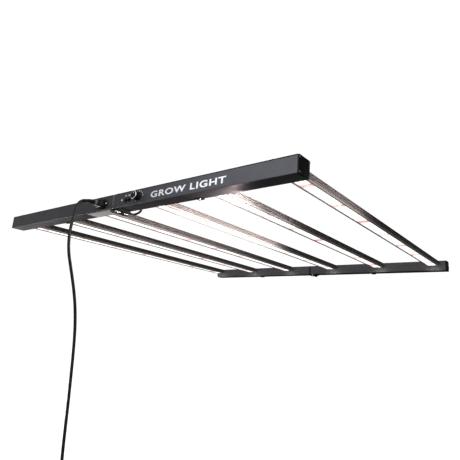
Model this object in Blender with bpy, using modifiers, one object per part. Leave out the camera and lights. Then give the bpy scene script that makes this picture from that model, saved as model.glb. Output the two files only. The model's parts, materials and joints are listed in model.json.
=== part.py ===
"""Folding six-bar LED grow light.

A front housing beam and a rear rail carry six finned LED bars. Both beams are split at the middle and hinged
under the right half's inner end, so the right half folds down under the left one. X runs along the housing,
Y from the housing's front face to the rail, and Z up. The origin is at the middle of the light in plan, level
with the housing's top. Lengths are in metres.
"""

import math

import bmesh
import bpy
from mathutils import Matrix, Vector

# Driving dimensions
LENGTH = 1.100
DEPTH = 1.106
HOUSING_DEPTH = 0.042
HOUSING_HEIGHT = 0.038
RAIL_DEPTH = 0.038
RAIL_HEIGHT = 0.037
RAIL_DROP = 0.005
RAIL_LEFT = 0.536
RAIL_RIGHT = 0.557
BAR_WIDTH = 0.037
BAR_HEIGHT = 0.020
BAR_DROP = 0.006
BAR_PITCH = 0.203
SEAM_PITCH = 0.213
GAP = 0.0003
TOUCH = 0.0001

# Sheet and wall thicknesses
WALL = 0.0018
RAIL_WALL = 0.0016
COVER = 0.0016
COVER_OVERHANG = 0.0004
SEAM_CAP = 0.0025
END_CAP = 0.0025
BOSS = 0.0065

# Places that several pieces share
FRONT = -DEPTH / 2
HOUSING_BACK = FRONT + HOUSING_DEPTH
REAR = DEPTH / 2
RAIL_FRONT = REAR - RAIL_DEPTH
HOUSING_BOTTOM = -HOUSING_HEIGHT
RAIL_TOP = -RAIL_DROP
RAIL_BOTTOM = RAIL_TOP - RAIL_HEIGHT
CHANNEL_TOP = -COVER - GAP
SEAM_FACE = GAP
CHANNEL_START = SEAM_FACE + SEAM_CAP + GAP
CHANNEL_END = LENGTH / 2 - END_CAP - GAP

# Fasteners
M3_SHANK = 0.0014
M3_HEAD = 0.0027
M3_HEAD_HEIGHT = 0.0016
M4_SHANK = 0.0018
HOLE_CLEARANCE = 0.0004
HOLE_SIDES = 8
CAP_SCREW_LENGTH = 0.009
COVER_SCREW_LENGTH = 0.006
BOSS_CENTRE = 0.0033

# Bars
BAR_PORT_X = 0.0062
BAR_PORT_DROP = 0.0062
BAR_PORT_RADIUS = 0.0021
BAR_PORT_Z = -BAR_DROP - BAR_PORT_DROP
BOARD_THICKNESS = 0.0013
BOARD_TOP = -0.0162
BOARD_INSET = 0.010
BOARD_SIDE_INSET = 0.0037
LIP_WIDTH = 0.0033
WIRE_Z = -0.0183
WIRE_HOLE_RADIUS = 0.0016

# Hinges
HINGE_X = 0.014
HINGE_DROP = 0.008
HINGE_Z = HOUSING_BOTTOM - HINGE_DROP
KNUCKLE_RADIUS = 0.0036
PIN_RADIUS = 0.0015
PIN_BORE = 0.0019
PIN_HEAD_RADIUS = 0.0026
PIN_HEAD_LENGTH = 0.0009
LEAF_INNER = 0.0042
LEAF_OUTER = 0.0115
LEAF_UNDERSIDE = HINGE_Z + 0.0019
LEAF_OVERLAP = 0.0005
ARM_TOP = LEAF_UNDERSIDE + 0.0014
SHIELD_UNDERSIDE = HINGE_Z + KNUCKLE_RADIUS + 0.0004
HINGE_SCREW_X = 0.0081
HINGE_LENGTH = 0.037
HINGE_SCREW_OFFSET = 0.0105

# Hanging eyes
HANGER_X = 0.275
EYE_Z = 0.0065
EYE_RADIUS = 0.0045
STRAP_RADIUS = 0.008
STRAP_THICKNESS = 0.0015
STRAP_FOOT = 0.010
FOOT_SCREW_INSET = 0.006
REAR_FOOT = 0.036
REAR_FOOT_SCREW_INSET = 0.032
REAR_EYE_DROP = 0.004
FOOT_SCREW_LENGTH = 0.006

# Controls
INLET_X = -0.0467
INLET_Z = -0.0212
INLET_SCREW_X = 0.020
JACK_Z = -0.0224
JACK_CENTRES = (0.0532, 0.0664)
JACK_WIDTH = 0.0124
JACK_HEIGHT = 0.012
KNOB_X = 0.102
KNOB_Z = -0.0195
KNOB_RADIUS = 0.0108
KNOB_LENGTH = 0.0175
SHAFT_RADIUS = 0.003
CONTROL_SCREW = (0.0373, -0.0206)
GLAND_LEFT_X = -0.018
GLAND_RIGHT_X = 0.044
GLAND_Z = -0.025
GLAND_LENGTH = 0.008
GLAND_STUB_RADIUS = 0.0038
LINK_RADIUS = 0.0030

# Mains lead
CORD_RADIUS = 0.00375
FLOOR_Z = -0.738
CONNECTOR_FACE = FRONT - 0.0028
BODY_FACE = FRONT - 0.013
SHOULDER_FACE = FRONT - 0.0205
BAND_FACE = FRONT - 0.026
RELIEF_FACE = FRONT - 0.0461
RELIEF_SAG = 0.0024
COIL_RADIUS = 0.044
TIE_THICKNESS = 0.001

MODEL = "folding_grow_light"
SIDES = {"left": -1, "right": 1}
OUTER_CORNERS = ("fb", "ft", "bb", "bt")
SEAM_CORNERS = ("fb", "bt")
COVER_SCREW_X = (0.060, 0.490)
BREAKTHROUGH = 0.003

# Finish: colour, roughness, metallic
LOOKS = {
    "charcoal paint": ((0.10, 0.10, 0.115), 0.42, 0.55),
    "black paint": ((0.015, 0.015, 0.017), 0.45, 0.2),
    "light alloy": ((0.55, 0.56, 0.58), 0.35, 0.9),
    "dark anodised": ((0.07, 0.065, 0.065), 0.40, 0.8),
    "white board": ((0.93, 0.92, 0.90), 0.35, 0.0),
    "black plastic": ((0.012, 0.012, 0.013), 0.38, 0.0),
    "zinc": ((0.72, 0.72, 0.70), 0.28, 0.95),
    "rubber": ((0.018, 0.018, 0.019), 0.55, 0.0),
    "label": ((0.78, 0.78, 0.77), 0.45, 0.0),
    "driver case": ((0.30, 0.31, 0.33), 0.45, 0.8),
    "circuit board": ((0.02, 0.16, 0.07), 0.45, 0.0),
    "wiring": ((0.45, 0.05, 0.04), 0.50, 0.0),
    "brass": ((0.70, 0.52, 0.24), 0.30, 0.95),
}


# ---------------------------------------------------------------- modelling tools

def clear_scene():
    for thing in list(bpy.data.objects):
        bpy.data.objects.remove(thing, do_unlink=True)


def collection(name):
    group = bpy.data.collections.new(name)
    bpy.context.scene.collection.children.link(group)
    return group


def move_to(thing, group):
    for other in list(thing.users_collection):
        other.objects.unlink(thing)
    group.objects.link(thing)


def dress(thing, name, look):
    """Names a sub-part, puts it with the model and gives it its own material."""
    thing.name = name
    thing.data.name = name
    move_to(thing, bpy.data.collections[MODEL])
    colour, roughness, metallic = LOOKS[look]
    material = bpy.data.materials.new(name + "_finish")
    material.use_nodes = True
    shader = material.node_tree.nodes["Principled BSDF"]
    shader.inputs["Base Color"].default_value = (*colour, 1)
    shader.inputs["Roughness"].default_value = roughness
    shader.inputs["Metallic"].default_value = metallic
    material.diffuse_color = (*colour, 1)
    thing.data.materials.clear()
    thing.data.materials.append(material)
    return thing


def hide_as_cutter(thing):
    move_to(thing, bpy.data.collections["cutters"])
    thing.hide_render = True
    thing.display_type = "WIRE"
    return thing


def mesh_object(name, shape):
    """An object from a bmesh, which is freed."""
    mesh = bpy.data.meshes.new(name)
    shape.to_mesh(mesh)
    shape.free()
    thing = bpy.data.objects.new(name, mesh)
    bpy.context.scene.collection.objects.link(thing)
    return thing


def block(name, low, high):
    """A box between two corners."""
    low = Vector(low)
    high = Vector(high)
    bpy.ops.mesh.primitive_cube_add(size=1, location=(low + high) / 2)
    thing = bpy.context.object
    thing.name = name
    thing.scale = high - low
    bpy.ops.object.transform_apply(location=False, rotation=False, scale=True)
    return thing


def rods(name, runs, radius, sides, end_radius=None):
    """Round rods, one for each (start, end) pair of points, in one mesh."""
    shape = bmesh.new()
    for start, end in runs:
        start = Vector(start)
        along = Vector(end) - start
        place = Matrix.Translation(start + along / 2) @ along.to_track_quat("Z", "Y").to_matrix().to_4x4()
        bmesh.ops.create_cone(shape, cap_ends=True, segments=sides, radius1=radius,
                              radius2=radius if end_radius is None else end_radius,
                              depth=along.length, matrix=place)
    return mesh_object(name, shape)


def combine(target, other, operation):
    modifier = target.modifiers.new(other.name, "BOOLEAN")
    modifier.object = hide_as_cutter(other)
    modifier.operation = operation
    modifier.solver = "EXACT"
    return target


def cut(target, cutter):
    return combine(target, cutter, "DIFFERENCE")


def join(target, *others):
    for other in others:
        combine(target, other, "UNION")
    return target


def drill(target, runs, radius, sides=HOLE_SIDES):
    """Drills a round hole along each (start, end) pair of points."""
    return cut(target, rods(target.name + "_drill", runs, radius, sides))


def weld_and_face_out(mesh):
    shape = bmesh.new()
    shape.from_mesh(mesh)
    bmesh.ops.remove_doubles(shape, verts=shape.verts, dist=0.00001)
    bmesh.ops.recalc_face_normals(shape, faces=shape.faces)
    shape.to_mesh(mesh)
    shape.free()


def baked(guide):
    """A mesh object with the shape that a curve or a modified object has."""
    bpy.context.view_layer.update()
    evaluated = guide.evaluated_get(bpy.context.evaluated_depsgraph_get())
    mesh = bpy.data.meshes.new_from_object(evaluated)
    weld_and_face_out(mesh)
    name = guide.name
    place = guide.matrix_world.copy()
    bpy.data.objects.remove(guide, do_unlink=True)
    thing = bpy.data.objects.new(name, mesh)
    thing.matrix_world = place
    bpy.context.scene.collection.objects.link(thing)
    return thing


DRAWN_ALONG = {
    "X": ((math.pi / 2, 0, math.pi / 2), (1, 0, 0)),
    "Y": ((math.pi / 2, 0, 0), (0, 1, 0)),
    "Z": ((0, 0, 0), (0, 0, 1)),
}


def extrusion(name, loops, axis, start, end):
    """A flat outline and its holes, drawn out along X (from y, z), Y (from x, z) or Z (from x, y)."""
    curve = bpy.data.curves.new(name, "CURVE")
    curve.dimensions = "2D"
    curve.fill_mode = "BOTH"
    curve.extrude = abs(end - start) / 2
    for loop in loops:
        spline = curve.splines.new("POLY")
        spline.points.add(len(loop) - 1)
        spline.use_cyclic_u = True
        for point, (across, up) in zip(spline.points, loop):
            point.co = (across, up, 0, 1)
    guide = bpy.data.objects.new(name, curve)
    turn, direction = DRAWN_ALONG[axis]
    guide.rotation_euler = turn
    guide.location = Vector(direction) * (start + end) / 2
    bpy.context.scene.collection.objects.link(guide)
    return baked(guide)


def turned(name, profile, centre, axis, steps):
    """A turned solid. The profile's (radius, height) points run down the outside."""
    mesh = bpy.data.meshes.new(name)
    corners = [(radius, 0, height) for radius, height in profile]
    closed = profile[0][0] > 0 and profile[-1][0] > 0
    edges = [(i, i + 1) for i in range(len(corners) - 1)]
    if closed:
        edges.append((len(corners) - 1, 0))
    mesh.from_pydata(corners, edges, [])
    thing = bpy.data.objects.new(name, mesh)
    bpy.context.scene.collection.objects.link(thing)
    screw = thing.modifiers.new("Turn", "SCREW")
    screw.steps = steps
    screw.render_steps = steps
    screw.use_merge_vertices = True
    screw.merge_threshold = 0.00005
    screw.use_smooth_shade = True
    thing.rotation_euler = Vector(axis).to_track_quat("Z", "Y").to_euler()
    thing.location = centre
    return baked(thing)


def arc(centre, radius, start, end, segments):
    """Points of an arc, from angle start to angle end in degrees."""
    points = []
    for i in range(segments + 1):
        angle = math.radians(start + (end - start) * i / segments)
        points.append((centre[0] + radius * math.cos(angle), centre[1] + radius * math.sin(angle)))
    return points


def circle(centre, radius, sides):
    return arc(centre, radius, 0, 360 - 360 / sides, sides - 1)


def rounded_rectangle(low, high, radius, segments=3):
    corners = (((high[0] - radius, high[1] - radius), 0), ((low[0] + radius, high[1] - radius), 90),
               ((low[0] + radius, low[1] + radius), 180), ((high[0] - radius, low[1] + radius), 270))
    outline = []
    for centre, start in corners:
        outline += arc(centre, radius, start, start + 90, segments)
    return outline


def rectangle(low, high):
    return [(low[0], low[1]), (high[0], low[1]), (high[0], high[1]), (low[0], high[1])]


def pan_screw(name, seat, outward, length):
    """An M3 pan-head screw, with its head's underside at the seat."""
    profile = ((0, M3_HEAD_HEIGHT), (M3_HEAD * 0.7, M3_HEAD_HEIGHT), (M3_HEAD, M3_HEAD_HEIGHT * 0.4),
               (M3_HEAD, 0), (M3_SHANK, 0), (M3_SHANK, -length), (0, -length))
    return dress(turned(name, profile, seat, outward, 12), name, "zinc")


def smooth_route(points, spacing):
    """Points about one spacing apart on a smooth curve through the given points.

    The first and last stretch stay straight, so that a tube's ends are square to what they meet.
    """
    points = [Vector(point) for point in points]
    fine = []
    for before, here, after, later in zip(points, points[1:], points[2:], points[3:]):
        for i in range(16):
            t = i / 16
            fine.append(0.5 * (2 * here + (after - before) * t
                               + (2 * before - 5 * here + 4 * after - later) * t ** 2
                               + (3 * here - before - 3 * after + later) * t ** 3))
    fine.append(points[-2])
    length = sum((b - a).length for a, b in zip(fine, fine[1:]))
    steps = round(length / spacing)
    route = [points[0], fine[0]]
    travelled = 0
    for a, b in zip(fine, fine[1:]):
        travelled += (b - a).length
        if travelled >= length * (len(route) - 1) / steps and len(route) <= steps:
            route.append(b)
    return route + [points[-2], points[-1]]


def tube(name, points, radius, resolution):
    curve = bpy.data.curves.new(name, "CURVE")
    curve.dimensions = "3D"
    curve.bevel_depth = radius
    curve.bevel_resolution = resolution
    curve.use_fill_caps = True
    spline = curve.splines.new("POLY")
    spline.points.add(len(points) - 1)
    for point, place in zip(spline.points, points):
        point.co = (*place, 1)
    guide = bpy.data.objects.new(name, curve)
    bpy.context.scene.collection.objects.link(guide)
    return baked(guide)


# ---------------------------------------------------------------- beams

def span(side, near, far):
    """The low and high X of a piece that lies between two distances from the seam."""
    return min(side * near, side * far), max(side * near, side * far)


def bar_centres(side):
    return [side * (SEAM_PITCH / 2 + BAR_PITCH * i) for i in range(3)]


def beam_outline(front, back, bottom, top, radius):
    return rounded_rectangle((front, bottom), (back, top), radius)


def channel_outline():
    """U-shaped section with a solid boss for the screws in each corner."""
    radius = 0.0015
    low = HOUSING_BOTTOM
    inner_front = FRONT + WALL
    inner_back = HOUSING_BACK - WALL
    return (arc((FRONT + radius, low + radius), radius, 180, 270, 3)
            + arc((HOUSING_BACK - radius, low + radius), radius, 270, 360, 3)
            + [(HOUSING_BACK, CHANNEL_TOP), (HOUSING_BACK - BOSS, CHANNEL_TOP),
               (HOUSING_BACK - BOSS, CHANNEL_TOP - BOSS), (inner_back, CHANNEL_TOP - BOSS),
               (inner_back, low + BOSS), (HOUSING_BACK - BOSS, low + BOSS), (HOUSING_BACK - BOSS, low + WALL),
               (FRONT + BOSS, low + WALL), (FRONT + BOSS, low + BOSS), (inner_front, low + BOSS),
               (inner_front, CHANNEL_TOP - BOSS), (FRONT + BOSS, CHANNEL_TOP - BOSS),
               (FRONT + BOSS, CHANNEL_TOP), (FRONT, CHANNEL_TOP)])


def housing_cap_points(corners):
    """(y, z) of the cap screws: front and back, bottom and top."""
    columns = {"f": FRONT + BOSS_CENTRE, "b": HOUSING_BACK - BOSS_CENTRE}
    rows = {"b": HOUSING_BOTTOM + BOSS_CENTRE, "t": CHANNEL_TOP - BOSS_CENTRE}
    return [(columns[corner[0]], rows[corner[1]]) for corner in corners]


def rail_cap_points():
    height = (RAIL_TOP + RAIL_BOTTOM) / 2 - 0.004
    return [(RAIL_FRONT + BOSS_CENTRE, height), (REAR - BOSS_CENTRE, height)]


def cover_screw_points(side):
    return [(side * x, y) for x in COVER_SCREW_X for y in (FRONT + BOSS_CENTRE, HOUSING_BACK - BOSS_CENTRE)]


def leaf_origin(side):
    """Where a leaf's places are counted from: the seam on the left half, the pin on the right half."""
    return HINGE_X if side > 0 else 0


def hinge_screw_points(side, middle):
    x = leaf_origin(side) + side * HINGE_SCREW_X
    return [(x, middle + offset) for offset in (-HINGE_SCREW_OFFSET, HINGE_SCREW_OFFSET)]


def rail_end(side):
    """How far the rail reaches from the seam, with its end cap."""
    return RAIL_RIGHT if side > 0 else RAIL_LEFT


def front_openings(side):
    """Cutters for the front wall's sockets and controls."""
    through = (FRONT - BREAKTHROUGH, FRONT + WALL + BREAKTHROUGH)
    if side < 0:
        half_width = 0.0140
        half_height = 0.0103
        yield block("inlet_cutout", (INLET_X - half_width, through[0], INLET_Z - half_height),
                    (INLET_X + half_width, through[1], INLET_Z + half_height))
    else:
        half_height = JACK_HEIGHT / 2 + GAP
        reach = JACK_WIDTH / 2 + GAP
        yield block("jack_cutout", (JACK_CENTRES[0] - reach, through[0], JACK_Z - half_height),
                    (JACK_CENTRES[1] + reach, through[1], JACK_Z + half_height))


def front_holes(side):
    """Small round holes in the front wall, as (x, z, radius)."""
    clear = M3_SHANK + HOLE_CLEARANCE
    if side < 0:
        return [(INLET_X - INLET_SCREW_X, INLET_Z, clear), (INLET_X + INLET_SCREW_X, INLET_Z, clear)]
    return [(CONTROL_SCREW[0], CONTROL_SCREW[1], clear), (KNOB_X, KNOB_Z, SHAFT_RADIUS + 2 * HOLE_CLEARANCE)]


def make_housing(word, side):
    near, far = span(side, CHANNEL_START, CHANNEL_END)
    housing = extrusion("housing_" + word, [channel_outline()], "X", near, far)
    for cutter in front_openings(side):
        cut(housing, cutter)
    for x, z, radius in front_holes(side):
        drill(housing, [((x, FRONT - BREAKTHROUGH, z), (x, FRONT + WALL + BREAKTHROUGH, z))], radius)
    back_start = HOUSING_BACK - WALL - BREAKTHROUGH
    back_end = HOUSING_BACK + BREAKTHROUGH
    screws = [((x + offset, back_start, BAR_PORT_Z), (x + offset, back_end, BAR_PORT_Z))
              for x in bar_centres(side) for offset in (-BAR_PORT_X, BAR_PORT_X)]
    feet = [((side * HANGER_X, HOUSING_BACK - FOOT_SCREW_INSET, HOUSING_BOTTOM - BREAKTHROUGH),
             (side * HANGER_X, HOUSING_BACK - FOOT_SCREW_INSET, HOUSING_BOTTOM + FOOT_SCREW_LENGTH))]
    middle = FRONT + HOUSING_DEPTH / 2
    hinge = [((x, y, HOUSING_BOTTOM - BREAKTHROUGH), (x, y, HOUSING_BOTTOM + WALL + BREAKTHROUGH))
             for x, y in hinge_screw_points(side, middle)]
    drill(housing, screws + feet + hinge, M4_SHANK + HOLE_CLEARANCE)
    wires = [((x, back_start, WIRE_Z), (x, back_end, WIRE_Z)) for x in bar_centres(side)]
    drill(housing, wires, WIRE_HOLE_RADIUS)
    gland_x = GLAND_LEFT_X if side < 0 else GLAND_RIGHT_X
    drill(housing, [((gland_x, back_start, GLAND_Z), (gland_x, back_end, GLAND_Z))],
          GLAND_STUB_RADIUS + GAP, 12)
    caps = [((side * (CHANNEL_END + BREAKTHROUGH), y, z), (side * (CHANNEL_END - CAP_SCREW_LENGTH), y, z))
            for y, z in housing_cap_points(OUTER_CORNERS)]
    seam_start = CHANNEL_START - BREAKTHROUGH
    caps += [((side * seam_start, y, z), (side * (CHANNEL_START + CAP_SCREW_LENGTH), y, z))
             for y, z in housing_cap_points(SEAM_CORNERS)]
    covers = [((x, y, BREAKTHROUGH), (x, y, CHANNEL_TOP - COVER_SCREW_LENGTH))
              for x, y in cover_screw_points(side)]
    drill(housing, caps + covers, M3_SHANK + HOLE_CLEARANCE)
    return dress(housing, housing.name, "charcoal paint")


def make_cover(word, side):
    near, far = span(side, CHANNEL_START, CHANNEL_END)
    cover = block("housing_cover_" + word, (near, FRONT - COVER_OVERHANG, -COVER), (far, HOUSING_BACK, 0))
    drill(cover, [((x, y, BREAKTHROUGH), (x, y, -COVER - BREAKTHROUGH)) for x, y in cover_screw_points(side)],
          M3_SHANK + HOLE_CLEARANCE)
    return dress(cover, cover.name, "black paint")


def make_cap(name, look, outline, near, far, screw_points):
    """A plate across the end of a beam, with holes for its screws."""
    cap = extrusion(name, [outline], "X", near, far)
    drill(cap, [((near - BREAKTHROUGH, y, z), (far + BREAKTHROUGH, y, z)) for y, z in screw_points],
          M3_SHANK + HOLE_CLEARANCE)
    return dress(cap, name, look)


def rail_outlines():
    """The tube's outer wall, and its bore with a boss for the cap screws on each side."""
    inner_front = RAIL_FRONT + RAIL_WALL
    inner_back = REAR - RAIL_WALL
    height = rail_cap_points()[0][1]
    low = height - BOSS / 2
    high = height + BOSS / 2
    bore = [(inner_front, RAIL_BOTTOM + RAIL_WALL), (inner_back, RAIL_BOTTOM + RAIL_WALL), (inner_back, low),
            (REAR - BOSS, low), (REAR - BOSS, high), (inner_back, high), (inner_back, RAIL_TOP - RAIL_WALL),
            (inner_front, RAIL_TOP - RAIL_WALL), (inner_front, high), (RAIL_FRONT + BOSS, high),
            (RAIL_FRONT + BOSS, low), (inner_front, low)]
    return [rail_outer(), bore]


def rail_outer():
    return beam_outline(RAIL_FRONT, REAR, RAIL_BOTTOM, RAIL_TOP, 0.003)


def make_rail(word, side):
    tube_end = rail_end(side) - END_CAP - GAP
    near, far = span(side, CHANNEL_START, tube_end)
    rail = extrusion("rear_rail_" + word, rail_outlines(), "X", near, far)
    bolts = [((x + offset, RAIL_FRONT - BREAKTHROUGH, BAR_PORT_Z),
              (x + offset, REAR + BREAKTHROUGH, BAR_PORT_Z))
             for x in bar_centres(side) for offset in (-BAR_PORT_X, BAR_PORT_X)]
    foot_y = REAR - REAR_FOOT_SCREW_INSET
    feet = [((side * HANGER_X, foot_y, RAIL_BOTTOM - BREAKTHROUGH),
             (side * HANGER_X, foot_y, RAIL_BOTTOM + FOOT_SCREW_LENGTH))]
    hinge = [((x, y, RAIL_BOTTOM - BREAKTHROUGH), (x, y, RAIL_BOTTOM + RAIL_WALL + BREAKTHROUGH))
             for x, y in hinge_screw_points(side, REAR - RAIL_DEPTH / 2)]
    drill(rail, bolts + feet + hinge, M4_SHANK + HOLE_CLEARANCE)
    caps = [((side * (tube_end + BREAKTHROUGH), y, z), (side * (tube_end - CAP_SCREW_LENGTH), y, z))
            for y, z in rail_cap_points()]
    seam_start = CHANNEL_START - BREAKTHROUGH
    caps += [((side * seam_start, y, z), (side * (CHANNEL_START + CAP_SCREW_LENGTH), y, z))
             for y, z in rail_cap_points()]
    drill(rail, caps, M3_SHANK + HOLE_CLEARANCE)
    return dress(rail, rail.name, "charcoal paint")


def make_beams(word, side):
    make_housing(word, side)
    make_cover(word, side)
    make_rail(word, side)
    housing_section = beam_outline(FRONT, HOUSING_BACK, HOUSING_BOTTOM, 0, 0.0015)
    seam = span(side, SEAM_FACE, SEAM_FACE + SEAM_CAP)
    outer = span(side, LENGTH / 2 - END_CAP, LENGTH / 2)
    rail_outer_end = span(side, rail_end(side) - END_CAP, rail_end(side))
    make_cap("seam_cap_" + word, "light alloy", housing_section, *seam, housing_cap_points(SEAM_CORNERS))
    make_cap("outer_end_cap_" + word, "black paint", housing_section, *outer,
             housing_cap_points(OUTER_CORNERS))
    make_cap("rail_seam_cap_" + word, "black paint", rail_outer(), *seam, rail_cap_points())
    make_cap("rail_end_cap_" + word, "black paint", rail_outer(), *rail_outer_end, rail_cap_points())


# ---------------------------------------------------------------- bars

def heat_sink_loops(centre):
    """Finned section: a core with two screw ports and a wire duct, side fins, and a channel for the board."""
    half = BAR_WIDTH / 2
    core = 0.009
    fin = half - 0.001
    lip = half - LIP_WIDTH
    right = [(half, 0), (half, -0.0018), (core, -0.0018), (core, -0.0052), (fin, -0.0052), (fin, -0.0066),
             (core, -0.0066), (core, -0.0098), (fin, -0.0098), (fin, -0.0112), (core, -0.0112),
             (core, -0.0142),
             (half, -0.0142), (half, -BAR_HEIGHT), (lip, -BAR_HEIGHT), (lip, BOARD_TOP + GAP)]
    outline = right + [(-x, z) for x, z in reversed(right)]
    ports = [circle((x, -BAR_PORT_DROP), BAR_PORT_RADIUS, HOLE_SIDES) for x in (-BAR_PORT_X, BAR_PORT_X)]
    duct = rectangle((-0.0035, -0.0143), (0.0035, -0.0035))
    return [[(x + centre, z - BAR_DROP) for x, z in loop] for loop in [outline, duct] + ports]


def make_bar(number, centre):
    near = HOUSING_BACK + GAP
    far = RAIL_FRONT - GAP
    sink = extrusion("bar_heat_sink_%d" % number, heat_sink_loops(centre), "Y", near, far)
    dress(sink, sink.name, "dark anodised")
    half = BAR_WIDTH / 2 - BOARD_SIDE_INSET
    top = BOARD_TOP - BAR_DROP
    board = block("led_board_%d" % number, (centre - half, near + BOARD_INSET, top - BOARD_THICKNESS),
                  (centre + half, far - BOARD_INSET, top))
    dress(board, board.name, "white board")


# ---------------------------------------------------------------- hinges

def hinge_bands(start):
    """The (start, end) in Y of the three knuckles."""
    third = HINGE_LENGTH / 3
    return [(start + third * i + GAP / 2, start + third * (i + 1) - GAP / 2) for i in range(3)]


def make_leaf(name, side, top, start, bands):
    """A plate screwed under a beam, with an arm to each of its knuckles.

    The front right leaf also fills the space between the pin and the housing.
    """
    origin = leaf_origin(side)
    near, far = sorted((origin + side * LEAF_INNER, origin + side * LEAF_OUTER))
    leaf = block(name, (near, start, LEAF_UNDERSIDE), (far, start + HINGE_LENGTH, top))
    inner, outer = sorted((HINGE_X, origin + side * (LEAF_INNER + LEAF_OVERLAP)))
    knuckles = []
    arms = []
    for low, high in bands:
        axis_runs = [((HINGE_X, low, HINGE_Z), (HINGE_X, high, HINGE_Z))]
        knuckles.append(rods(name + "_knuckle", axis_runs, KNUCKLE_RADIUS, 20))
        arms.append(block(name + "_arm", (inner, low, HINGE_Z), (outer, high, ARM_TOP)))
    join(leaf, *knuckles, *arms)
    end = start + HINGE_LENGTH
    if side > 0 and top > SHIELD_UNDERSIDE + LEAF_OVERLAP:
        join(leaf, block(name + "_shield", (HINGE_X - KNUCKLE_RADIUS, start, SHIELD_UNDERSIDE),
                         (near + LEAF_OVERLAP, end, top)))
    bore = [((HINGE_X, start - BREAKTHROUGH, HINGE_Z), (HINGE_X, end + BREAKTHROUGH, HINGE_Z))]
    drill(leaf, bore, PIN_BORE, 20)
    screws = hinge_screw_points(side, start + HINGE_LENGTH / 2)
    drill(leaf, [((x, y, LEAF_UNDERSIDE - BREAKTHROUGH), (x, y, top + BREAKTHROUGH)) for x, y in screws],
          M4_SHANK + HOLE_CLEARANCE)
    return dress(leaf, name, "black paint")


def make_hinge(place, beam_bottom, middle):
    start = middle - HINGE_LENGTH / 2
    bands = hinge_bands(start)
    top = beam_bottom - GAP
    make_leaf(place + "_hinge_leaf_left", -1, top, start, (bands[0], bands[2]))
    make_leaf(place + "_hinge_leaf_right", 1, top, start, (bands[1],))
    half = HINGE_LENGTH / 2 + GAP
    head = half + PIN_HEAD_LENGTH
    profile = ((0, head), (PIN_HEAD_RADIUS, head), (PIN_HEAD_RADIUS, half), (PIN_RADIUS, half),
               (PIN_RADIUS, -half), (PIN_HEAD_RADIUS, -half), (PIN_HEAD_RADIUS, -head), (0, -head))
    pin = turned(place + "_hinge_pin", profile, (HINGE_X, middle, HINGE_Z), (0, 1, 0), 16)
    dress(pin, pin.name, "zinc")


# ---------------------------------------------------------------- hanging straps

def make_front_hanger(name, x):
    """A strap on the housing's back: an upright eye above the housing and a foot hooked under it."""
    face = HOUSING_BACK
    foot_top = HOUSING_BOTTOM - GAP
    foot_bottom = foot_top - STRAP_THICKNESS
    inner = face + GAP
    outer = inner + STRAP_THICKNESS
    tip = face - STRAP_FOOT
    top = EYE_Z + 2 * STRAP_RADIUS
    bend = [(outer, top), (inner, top), (inner, foot_top), (tip, foot_top), (tip, foot_bottom),
            (outer, foot_bottom)]
    strap = extrusion(name, [bend], "X", x - 2 * STRAP_RADIUS, x + 2 * STRAP_RADIUS)
    sides = (arc((x, EYE_Z), STRAP_RADIUS, 0, 180, 10)
             + [(x - STRAP_RADIUS, foot_bottom - 0.01), (x + STRAP_RADIUS, foot_bottom - 0.01)])
    trim = extrusion(name + "_trim", [sides], "Y", face - 0.02, face + 0.02)
    combine(strap, trim, "INTERSECT")
    drill(strap, [((x, face - 0.01, EYE_Z), (x, face + 0.01, EYE_Z))], EYE_RADIUS, 16)
    hole_y = face - FOOT_SCREW_INSET
    drill(strap, [((x, hole_y, foot_bottom - BREAKTHROUGH), (x, hole_y, foot_top + BREAKTHROUGH))],
          M4_SHANK + HOLE_CLEARANCE)
    return dress(strap, name, "black paint")


def make_rear_hanger(name, x):
    """A strap along the rail's underside and up its back, whose top is bent out to a level eye."""
    foot_top = RAIL_BOTTOM - GAP
    foot_bottom = foot_top - STRAP_THICKNESS
    inner = REAR + GAP
    outer = inner + STRAP_THICKNESS
    tip = REAR - REAR_FOOT
    eye_top = RAIL_TOP - REAR_EYE_DROP
    eye_bottom = eye_top - STRAP_THICKNESS
    eye_y = outer + STRAP_RADIUS
    reach = eye_y + 2 * STRAP_RADIUS
    bend = [(inner, eye_top), (inner, foot_top), (tip, foot_top), (tip, foot_bottom), (outer, foot_bottom),
            (outer, eye_bottom), (reach, eye_bottom), (reach, eye_top)]
    strap = extrusion(name, [bend], "X", x - 2 * STRAP_RADIUS, x + 2 * STRAP_RADIUS)
    plan = (arc((x, eye_y), STRAP_RADIUS, 0, 180, 10)
            + [(x - STRAP_RADIUS, tip - BREAKTHROUGH), (x + STRAP_RADIUS, tip - BREAKTHROUGH)])
    trim = extrusion(name + "_trim", [plan], "Z", foot_bottom - BREAKTHROUGH, eye_top + BREAKTHROUGH)
    combine(strap, trim, "INTERSECT")
    eye_run = ((x, eye_y, eye_bottom - BREAKTHROUGH), (x, eye_y, eye_top + BREAKTHROUGH))
    drill(strap, [eye_run], EYE_RADIUS, 16)
    hole_y = REAR - REAR_FOOT_SCREW_INSET
    drill(strap, [((x, hole_y, foot_bottom - BREAKTHROUGH), (x, hole_y, foot_top + BREAKTHROUGH))],
          M4_SHANK + HOLE_CLEARANCE)
    return dress(strap, name, "black paint")


def make_hangers(word, side):
    make_front_hanger("hanger_loop_front_" + word, side * HANGER_X)
    make_rear_hanger("hanger_loop_rear_" + word, side * HANGER_X)


# ---------------------------------------------------------------- screws

def make_front_screws():
    """The screws that hold the inlet and the control board to the front wall."""
    length = 0.006
    flange_face = FRONT - 0.0025 - TOUCH
    pan_screw("inlet_screw_outer", (INLET_X - INLET_SCREW_X, flange_face, INLET_Z), (0, -1, 0), length)
    pan_screw("inlet_screw_inner", (INLET_X + INLET_SCREW_X, flange_face, INLET_Z), (0, -1, 0), length)
    pan_screw("control_screw", (CONTROL_SCREW[0], FRONT - TOUCH, CONTROL_SCREW[1]), (0, -1, 0), length)


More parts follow.
